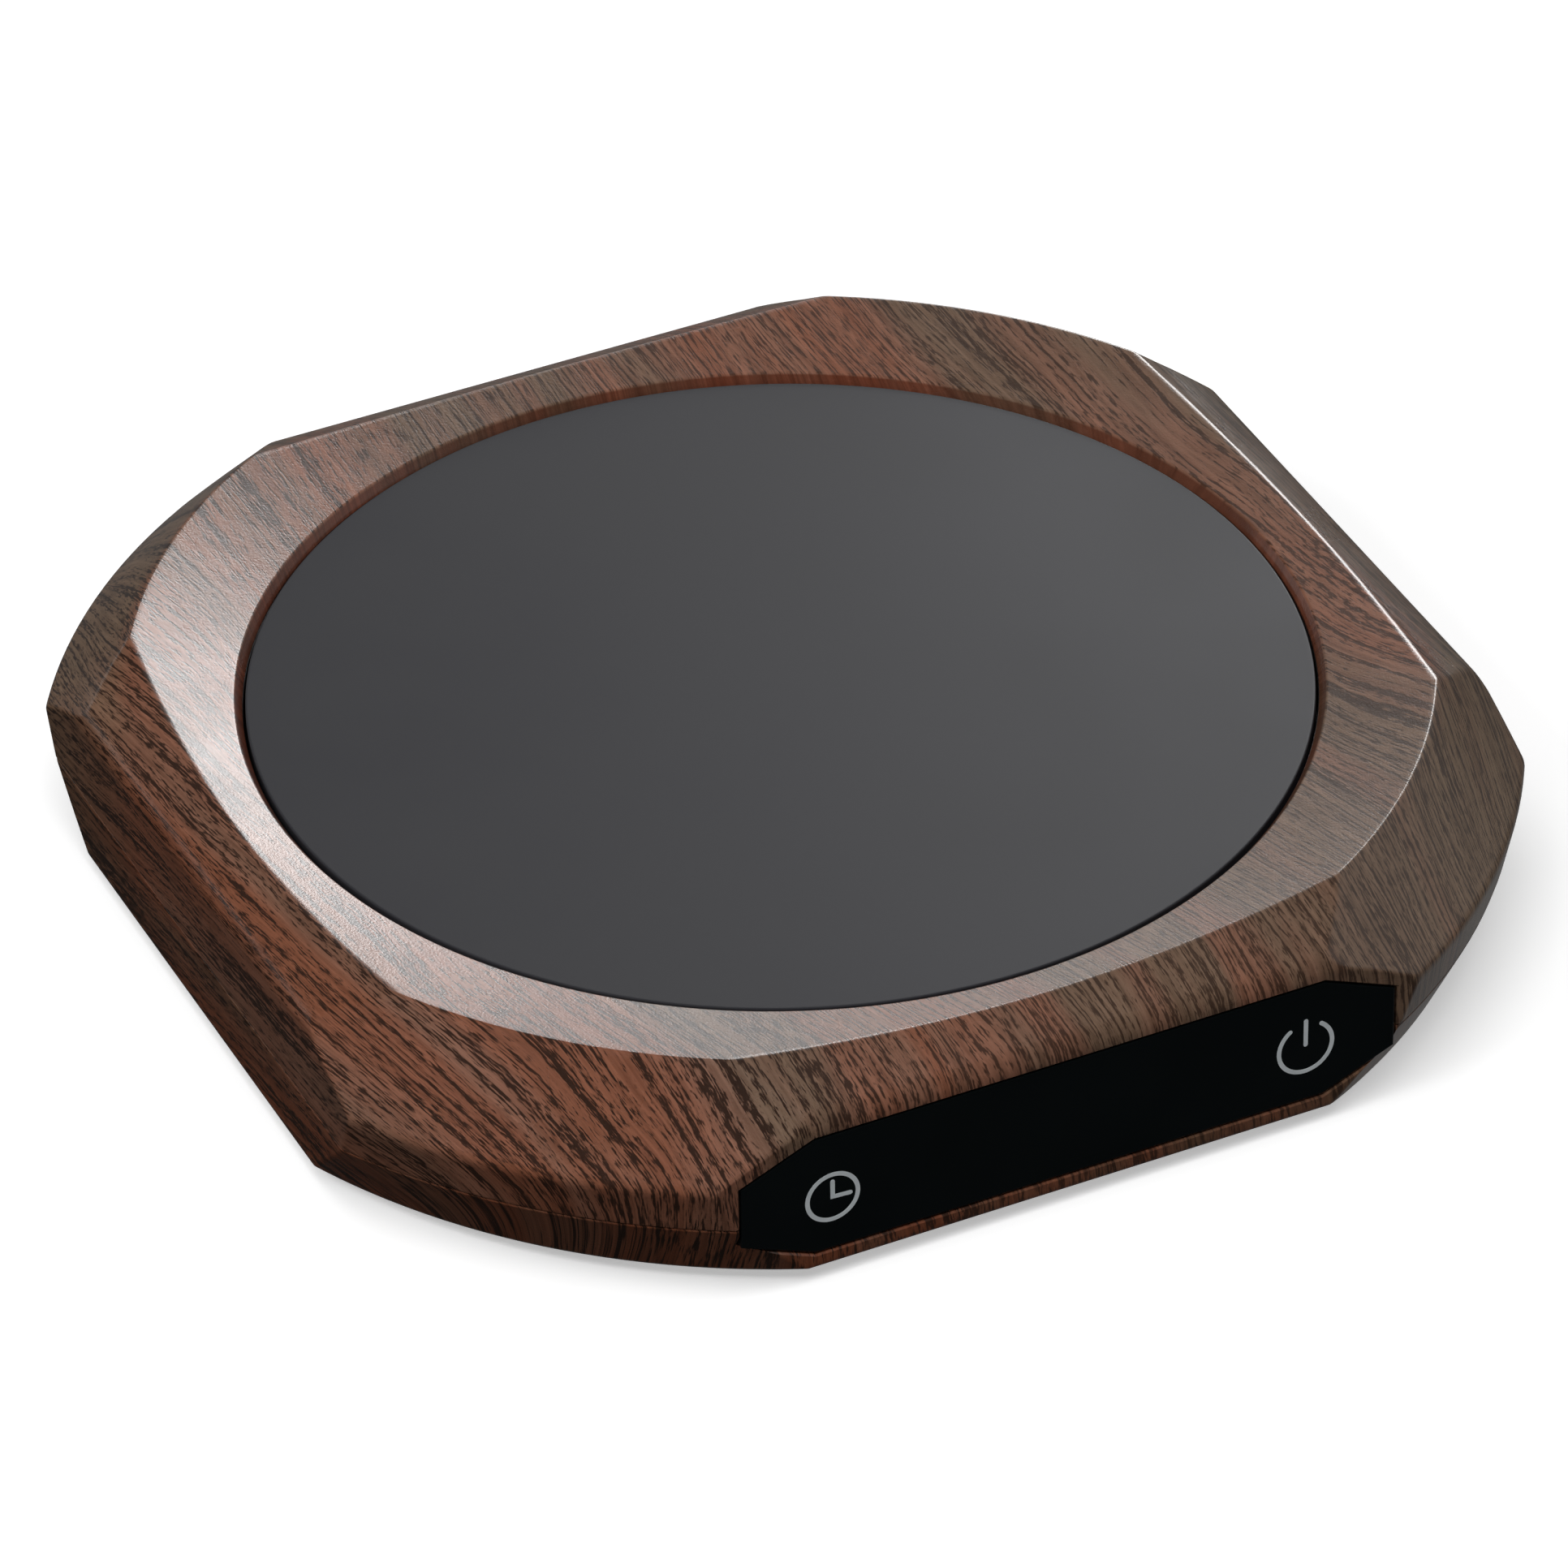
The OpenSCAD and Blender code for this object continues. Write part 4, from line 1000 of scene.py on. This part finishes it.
inlet = piece("power_inlet", *prism([
    (BLOCK_W, INLET_Z - BLOCK_H),
    (BLOCK_W, INLET_Z + BLOCK_H - BLOCK_CUT),
    (BLOCK_W - BLOCK_CUT, INLET_Z + BLOCK_H),
    (BLOCK_CUT - BLOCK_W, INLET_Z + BLOCK_H),
    (-BLOCK_W, INLET_Z + BLOCK_H - BLOCK_CUT),
    (-BLOCK_W, INLET_Z - BLOCK_H)
], INLET_BACK, INLET_FACE))
sunk, root = INLET_FACE - 1, NOSE_FACE - SOCKET_L
nose = rounded_section([(0, sunk), (NOSE_R, sunk), (NOSE_R, NOSE_FACE), (0, NOSE_FACE)], (0, 0.3))
bore = rounded_section([
    (0, root), (BORE_IN_R, root), (BORE_IN_R, NOSE_FACE - 1.6), (BORE_MOUTH_R, NOSE_FACE - 1.2),
    (BORE_MOUTH_R, NOSE_FACE - LEAD_IN), (BORE_MOUTH_R + 2 * LEAD_IN, NOSE_FACE + LEAD_IN),
    (BORE_MOUTH_R + 2 * LEAD_IN, NOSE_FACE + 1), (0, NOSE_FACE + 1)
], (0,) * 6)
rod = rounded_section([(0, root), (PIN_R, root), (PIN_R, PIN_END), (0, PIN_END)], (0, 0.5))
cut(inlet, "nose", *lengthwise(*spin(nose, 96)), "UNION")
cut(inlet, "socket_bore", *lengthwise(*spin(bore, 96)))
smooth(inlet)
pin = smooth(piece("centre_pin", *lengthwise(*spin(rod, 48))))
print("inlet:", len(inlet.data.polygons), "faces, pin:", len(pin.data.polygons), "faces")


# %% Inlet plastic and plated metal
def metal(name, dark, light, rough, size=(0.2, 9, 1), depth=0.003):
    """Rolled or turned metal: fine lines in cells of that size in millimetres."""
    f = Finish(name, {"Metallic": 1.0})
    lines = f.noise(f.cells(*f.split(f.place), size), 4, 0.6)
    cloud = f.noise(f.place, 3, 0.5, 0.25)
    color = f.ramp(f.mix(0.5, lines, cloud), [(0.3, dark), (0.7, light)])
    gloss = f.fade(lines, 0.3, 0.7, rough - 0.08, rough + 0.08)
    return f.set(Base_Color=color, Roughness=gloss, Normal=f.relief(lines, depth))


plastic = rubbery("inlet_plastic", rgb(20, 20, 22), rgb(30, 30, 32), 0.5)
brass = metal("pin_brass", rgb(176, 140, 76), rgb(208, 176, 110), 0.3, (1, 0.3, 1))
settle(inlet, plastic, "inlet_plastic", "dc_inlet")
settle(pin, brass, "pin_brass", "inlet_pin")
print("finishes so far:", len(bpy.data.materials))

# %% [markdown]
# ## Feet and case screws
#
# Four rubber feet and four pan-head screws stand on the diagonals of the underside. One Geometry Nodes
# tree sets copies of a piece on a circle, so that one number moves all four. The copies are made
# real and turned into a plain mesh, because the export has no use for instances.


# %% The tree that sets pieces round a circle
def round_tree():
    """Geometry Nodes: Count copies of Piece on a circle of that Radius, from Start Angle on."""
    tree = bpy.data.node_groups.new("set_round", "GeometryNodeTree")
    kinds = {
        "Piece": "Object", "Count": "Int", "Radius": "Float", "Start Angle": "Float", "Finish": "Material"
    }
    for name, kind in kinds.items():
        tree.interface.new_socket(name, in_out="INPUT", socket_type="NodeSocket" + kind)
    tree.interface.new_socket("Geometry", in_out="OUTPUT", socket_type="NodeSocketGeometry")
    start = tree.nodes.new("NodeGroupInput")
    end = tree.nodes.new("NodeGroupOutput")
    ring = tree.nodes.new("GeometryNodeMeshCircle")
    turn = tree.nodes.new("GeometryNodeTransform")
    angle = tree.nodes.new("ShaderNodeCombineXYZ")
    info = tree.nodes.new("GeometryNodeObjectInfo")
    place = tree.nodes.new("GeometryNodeInstanceOnPoints")
    real = tree.nodes.new("GeometryNodeRealizeInstances")
    finish = tree.nodes.new("GeometryNodeSetMaterial")
    for out, into in (
        (start.outputs["Count"], ring.inputs["Vertices"]),
        (start.outputs["Radius"], ring.inputs["Radius"]),
        (start.outputs["Start Angle"], angle.inputs["Z"]),
        (ring.outputs["Mesh"], turn.inputs["Geometry"]),
        (angle.outputs["Vector"], turn.inputs["Rotation"]),
        (start.outputs["Piece"], info.inputs["Object"]),
        (turn.outputs["Geometry"], place.inputs["Points"]),
        (info.outputs["Geometry"], place.inputs["Instance"]),
        (place.outputs["Instances"], real.inputs["Geometry"]),
        (real.outputs["Geometry"], finish.inputs["Geometry"]),
        (start.outputs["Finish"], finish.inputs["Material"]),
        (finish.outputs["Geometry"], end.inputs["Geometry"])
    ):
        tree.links.new(out, into)
    return tree


ROUND = round_tree()
print("inputs:", [s.name for s in ROUND.interface.items_tree if s.in_out == "INPUT"])


# %% One foot, one screw
def cross(arm, half):
    """Outline of a cross recess with arms of that length and half width, anticlockwise."""
    quarter = [(arm, -half), (arm, half), (half, half)]
    turns = ((1, 0), (0, 1), (-1, 0), (0, -1))
    return [(x * c - y * s, x * s + y * c) for c, s in turns for x, y in quarter]


FOOT_OUT, FOOT_HOLLOW_R, FOOT_HOLLOW = 6.0, 3.6, 0.25
foot = turned("foot", [
    (0, FOOT_HOLLOW), (FOOT_HOLLOW_R, FOOT_HOLLOW), (FOOT_HOLLOW_R + 0.4, 0.0), (FOOT_OUT, 0.0),
    (FOOT_OUT, SEAT_TOP), (0, SEAT_TOP)
], (0, 0.15, 0.55, 0.05), 64)

HEAD_R, HEAD_LOW, SHANK_R, SCREW_TIP = 2.5, 2.3, 1.05, 13.1
screw = turned("screw", [
    (0, HEAD_LOW), (HEAD_R - 0.8, HEAD_LOW), (HEAD_R, HEAD_LOW + 0.9), (HEAD_R, WELL_TOP),
    (SHANK_R, WELL_TOP), (SHANK_R, SCREW_TIP - 1.1), (0, SCREW_TIP)
], (0.5, 0.4, 0.1, 0, 0), 48)

mouth = [(x, y, HEAD_LOW - 0.2) for x, y in cross(1.5, 0.36)]
bottom = [(x, y, HEAD_LOW + 1.0) for x, y in cross(0.75, 0.2)]
m = len(mouth)
sides = [(i, (i + 1) % m, m + (i + 1) % m, m + i) for i in range(m)]
cut(screw, "cross_recess", mouth + bottom, sides + [tuple(range(m))[::-1], tuple(range(m, 2 * m))])
print("foot:", len(foot.data.polygons), "faces, screw:", len(screw.data.polygons), "faces")


# %% Set them round
def set_round(name, master, radius, material, count=4, start=math.pi / 4):
    """A plain mesh of count copies of master on a circle."""
    holder = piece(name, [], [])
    modifier = holder.modifiers.new(name, "NODES")
    modifier.node_group = ROUND
    values = {
        "Piece": master, "Count": count, "Radius": radius * MM, "Start Angle": start, "Finish": material
    }
    for socket in ROUND.interface.items_tree:
        if socket.in_out == "INPUT":
            modifier[socket.identifier] = values[socket.name]
    placed = holder.evaluated_get(bpy.context.evaluated_depsgraph_get())
    holder.data = bpy.data.meshes.new_from_object(placed)
    holder.modifiers.clear()
    bpy.data.objects.remove(master)
    return smooth(holder)


foot_rubber = rubbery("foot_rubber", rgb(22, 22, 22), rgb(32, 32, 32), 0.65)
screw_steel = metal("screw_steel", rgb(150, 152, 156), rgb(196, 198, 200), 0.32, (0.5, 0.5, 0.5))
feet = set_round("feet", foot, FOOT_R, foot_rubber)
screws = set_round("housing_screws", screw, SCREW_R, screw_steel)
settle(feet, foot_rubber, "foot_rubber", "rubber_feet")
settle(screws, screw_steel, "screw_steel", "case_screws")
print("feet:", len(feet.data.polygons), "faces, screws:", len(screws.data.polygons), "faces")

# %% [markdown]
# ## Pieces inside
#
# The heater stack and the boards keep their CAD shapes, which are exact already. Each gets a finish of its
# own kind: lines for rolled metal, a grain for moulded plastic, fibres for the pad, flakes for mica
# and copper tracks under the lacquer of the boards. The record says which piece takes which finish.


# %% Finishes of special surfaces
def mica():
    f = Finish("mica", {"IOR": 1.56})
    flakes = f.node("ShaderNodeTexVoronoi", {
        "Vector": f.place, "Scale": 0.9, "Randomness": 1.0
    }, output="Color")
    shade = f.mix(0.5, flakes, f.noise(f.place, 4, 0.6, 1.4))
    color = f.ramp(shade, [(0.25, rgb(150, 128, 88)), (0.75, rgb(206, 186, 142))])
    return f.set(Base_Color=color, Roughness=f.fade(flakes, 0, 1, 0.3, 0.5), Normal=f.relief(flakes, 0.02))


def felted():
    f = Finish("mineral_pad", {"IOR": 1.3})
    fibres = f.noise(f.cells(*f.split(f.place), (0.5, 2.5, 0.5)), 6, 0.7)
    color = f.ramp(fibres, [(0.3, rgb(190, 182, 164)), (0.7, rgb(232, 226, 212))])
    return f.set(Base_Color=color, Roughness=f.fade(fibres, 0, 1, 0.85, 1.0), Normal=f.relief(fibres, 0.15))


def lacquered_board():
    f = Finish("board_green", {"IOR": 1.5})
    x, y, z = f.split(f.place)
    tracks = f.node("ShaderNodeTexBrick", {
        "Vector": f.cells(x, f.math("ADD", y, z), 0.0, (1, 1, 1)), "Scale": 1.0, "Mortar Size": 0.12,
        "Brick Width": 7.0, "Row Height": 1.4, "Mortar Smooth": 0.1
    }, output="Fac", offset=0.37, squash=1.6, squash_frequency=3)
    color = f.mix(tracks, rgb(14, 74, 44), rgb(40, 118, 70))
    gloss = f.fade(f.noise(f.place, 2, 0.5, 0.4), 0.3, 0.7, 0.22, 0.32)
    return f.set(Base_Color=color, Roughness=gloss, Normal=f.relief(tracks, 0.03))


METALS = (   # name, dark, light, roughness, size of the lines
    ("spreader_aluminium", (176, 178, 182), (206, 208, 212), 0.35, (0.2, 9, 1)),
    ("resistance_alloy", (150, 138, 104), (186, 174, 136), 0.4, (2, 0.2, 1)),
    ("tray_steel", (150, 154, 158), (196, 200, 204), 0.38, (7, 0.25, 1)),
    ("capacitor_aluminium", (160, 164, 170), (200, 204, 208), 0.3, (0.3, 0.3, 5))
)
PLASTICS = (   # name, dark, light, roughness
    ("sensor_epoxy", (30, 84, 58), (44, 104, 72), 0.35),
    ("fuse_ceramic", (214, 208, 194), (232, 228, 216), 0.3),
    ("chip_black", (16, 16, 17), (28, 28, 30), 0.5),
    ("coil_ferrite", (36, 36, 38), (52, 52, 54), 0.6),
    ("connector_white", (216, 212, 194), (232, 228, 212), 0.45),
    ("heater_wire_red", (132, 16, 12), (160, 28, 20), 0.5),
    ("sensor_wire_white", (206, 206, 204), (226, 226, 224), 0.5),
    ("cable_black", (12, 12, 12), (24, 24, 24), 0.5),
    ("pad_rubber", (14, 14, 14), (24, 24, 24), 0.7),
    ("display_black", (18, 18, 20), (30, 30, 34), 0.35),
    ("tape_black", (12, 12, 12), (22, 22, 22), 0.8)
)
INSIDE = {
    "mica": mica(), "mineral_pad": felted(), "board_green": lacquered_board(), "screw_steel": screw_steel
}
for name, dark, light, rough, size in METALS:
    INSIDE[name] = metal(name, rgb(*dark), rgb(*light), rough, size)
for name, dark, light, rough in PLASTICS:
    INSIDE[name] = rubbery(name, rgb(*dark), rgb(*light), rough)
print("finishes of inner pieces:", len(INSIDE))

# %% Give them out
inner = [
    row for row in frame["record"]["subparts"]
    if row["material_slot"] in INSIDE and row["node"] != "case_screws"
]
for row in inner:
    for holder in frame["nodes"][row["node"]].material_slots:
        holder.material = INSIDE[row["material_slot"]]
print("inner pieces:", len(inner), "of", len(frame["nodes"]))

# %% [markdown]
# ## Floor, light and camera
#
# The floor is pale and plain, and glows a little, so that its shadows stay light. The room is dark to the
# left and in front, and brighter behind the right side, where the camera sees it mirrored in the
# lacquer. Three softboxes behind the object are seen by reflections only: they make the left rim glow
# and draw the edges. Three others, overhead, in front and at the left, light the colours and are
# kept out of reflections, so that they veil nothing.
# The camera was fitted to the photograph, and looks down at about 36 degrees from the front left.


# %% Floor
FLOOR_HALF = 3000


def pale():
    f = Finish("pale_floor", {
        "Specular IOR Level": 0.1, "Roughness": 0.9,
        "Emission Color": (1, 1, 1, 1), "Emission Strength": 0.42
    })
    cloud = f.noise(f.place, 2, 0.5, 0.01)
    return f.set(Base_Color=f.ramp(cloud, [(0.3, (0.93, 0.93, 0.93, 1)), (0.7, (0.95, 0.95, 0.95, 1))]))


corners = [(x * FLOOR_HALF, y * FLOOR_HALF, 0) for x, y in ((-1, -1), (1, -1), (1, 1), (-1, 1))]
floor = piece("floor", corners, [(0, 1, 2, 3)])
wear(floor, pale())
floor.visible_glossy = False
floor.visible_diffuse = False
print("floor:", 2 * FLOOR_HALF * MM, "m wide")


# %% Lights
def toward(azimuth, elevation):
    """Unit vector at these angles in degrees, azimuth anticlockwise from +X."""
    a, e = math.radians(azimuth), math.radians(elevation)
    return Vector((math.cos(a) * math.cos(e), math.sin(a) * math.cos(e), math.sin(e)))


def softbox(name, azimuth, elevation, distance, width, height, radiance, reflected):
    """A rectangular area light that faces the object, seen by reflections only, or kept out of them."""
    light = bpy.data.lights.new(name, "AREA")
    light.shape, light.size, light.size_y = "RECTANGLE", width, height
    light.energy = radiance * math.pi * width * height
    obj = bpy.data.objects.new(name, light)
    bpy.context.collection.objects.link(obj)
    way = toward(azimuth, elevation)
    obj.location = way * distance
    obj.rotation_euler = way.to_track_quat("Z", "Y").to_euler()
    obj.visible_glossy, obj.visible_diffuse = reflected, not reflected
    return round(light.energy, 2)


SOFTBOXES = (   # name, azimuth, elevation, distance, width, height in metres, radiance, reflected
    ("rim_light", 49, 27, 0.9, 0.32, 0.38, 9.5, True),
    ("low_light", 62, 12.5, 0.9, 0.42, 0.15, 1.9, True),
    ("top_light", -120, 72, 1.3, 1.0, 1.0, 3.3, False),
    ("front_light", -100, 8, 1.3, 0.8, 0.4, 2.5, False),
    ("back_light", 118, 6, 1.0, 0.7, 0.2, 0.6, True),
    ("left_light", 178, 45, 1.3, 0.8, 0.4, 5.2, False)
)
print("softboxes, W:", [softbox(*row) for row in SOFTBOXES])


# %% The room
BRIGHT_SIDE = 25   # azimuth in degrees
BY_SIDE = [(0.1, 0.02), (0.39, 0.22), (0.6, 0.36), (1.0, 0.42)]
BY_HEIGHT = [(-0.4, 0.5), (-0.2, 0.2), (0.0, 0.2), (0.26, 1.0), (0.5, 1.0), (0.8, 0.4)]


def greys(tree, value, stops):
    """A ramp of greys at values from -1 to 1."""
    ramp = tree.nodes.new("ShaderNodeValToRGB")
    middle = tree.nodes.new("ShaderNodeMath")
    middle.operation = "MULTIPLY_ADD"
    middle.inputs[1].default_value = middle.inputs[2].default_value = 0.5
    tree.links.new(value, middle.inputs[0])
    tree.links.new(middle.outputs[0], ramp.inputs[0])
    for _ in stops[2:]:
        ramp.color_ramp.elements.new(0.5)
    for element, (at, grey) in zip(ramp.color_ramp.elements, stops):
        element.position, element.color = (at + 1) / 2, (grey, grey, grey, 1)
    return ramp.outputs["Color"]


world = bpy.data.worlds.new("studio")
world.use_nodes = True
bpy.context.scene.world = world
sky = world.node_tree
way = sky.nodes.new("ShaderNodeTexCoord").outputs["Generated"]
height = sky.nodes.new("ShaderNodeSeparateXYZ")
side = sky.nodes.new("ShaderNodeVectorMath")
room = sky.nodes.new("ShaderNodeVectorMath")
side.operation, room.operation = "DOT_PRODUCT", "MULTIPLY"
side.inputs[1].default_value = toward(BRIGHT_SIDE, 0)
sky.links.new(way, height.inputs[0])
sky.links.new(way, side.inputs[0])
sky.links.new(greys(sky, side.outputs["Value"], BY_SIDE), room.inputs[0])
sky.links.new(greys(sky, height.outputs["Z"], BY_HEIGHT), room.inputs[1])
sky.links.new(room.outputs[0], sky.nodes["Background"].inputs["Color"])
print("nodes of the room:", len(sky.nodes))

# %% Camera
AZIMUTH, ELEVATION, ROLL = math.radians(-25.21), math.radians(36.28), math.radians(-0.96)
DISTANCE, TARGET = 971.6, Vector((1.356, 2.458, 5.317))
FOCAL_PIXELS, FRAME_PIXELS, SENSOR = 12672.78, 1932, 36
backward = Vector((
    math.sin(AZIMUTH) * math.cos(ELEVATION),
    -math.cos(AZIMUTH) * math.cos(ELEVATION),
    math.sin(ELEVATION)
))
level = Vector((math.cos(AZIMUTH), math.sin(AZIMUTH), 0))
upright = backward.cross(level)
right = level * math.cos(ROLL) + upright * math.sin(ROLL)
upright = backward.cross(right)
camera = bpy.data.objects.new("camera", bpy.data.cameras.new("camera"))
bpy.context.collection.objects.link(camera)
camera.data.sensor_width = SENSOR
camera.data.lens = SENSOR * FOCAL_PIXELS / FRAME_PIXELS
camera.data.clip_start, camera.data.clip_end = 0.05, 20
camera.matrix_world = Matrix.Translation((backward * DISTANCE + TARGET) * MM) @ Matrix(
    (right, upright, backward)).transposed().to_4x4()
bpy.context.scene.camera = camera
bpy.context.scene.view_settings.view_transform = "Standard"
print("lens:", round(camera.data.lens, 1), "mm")
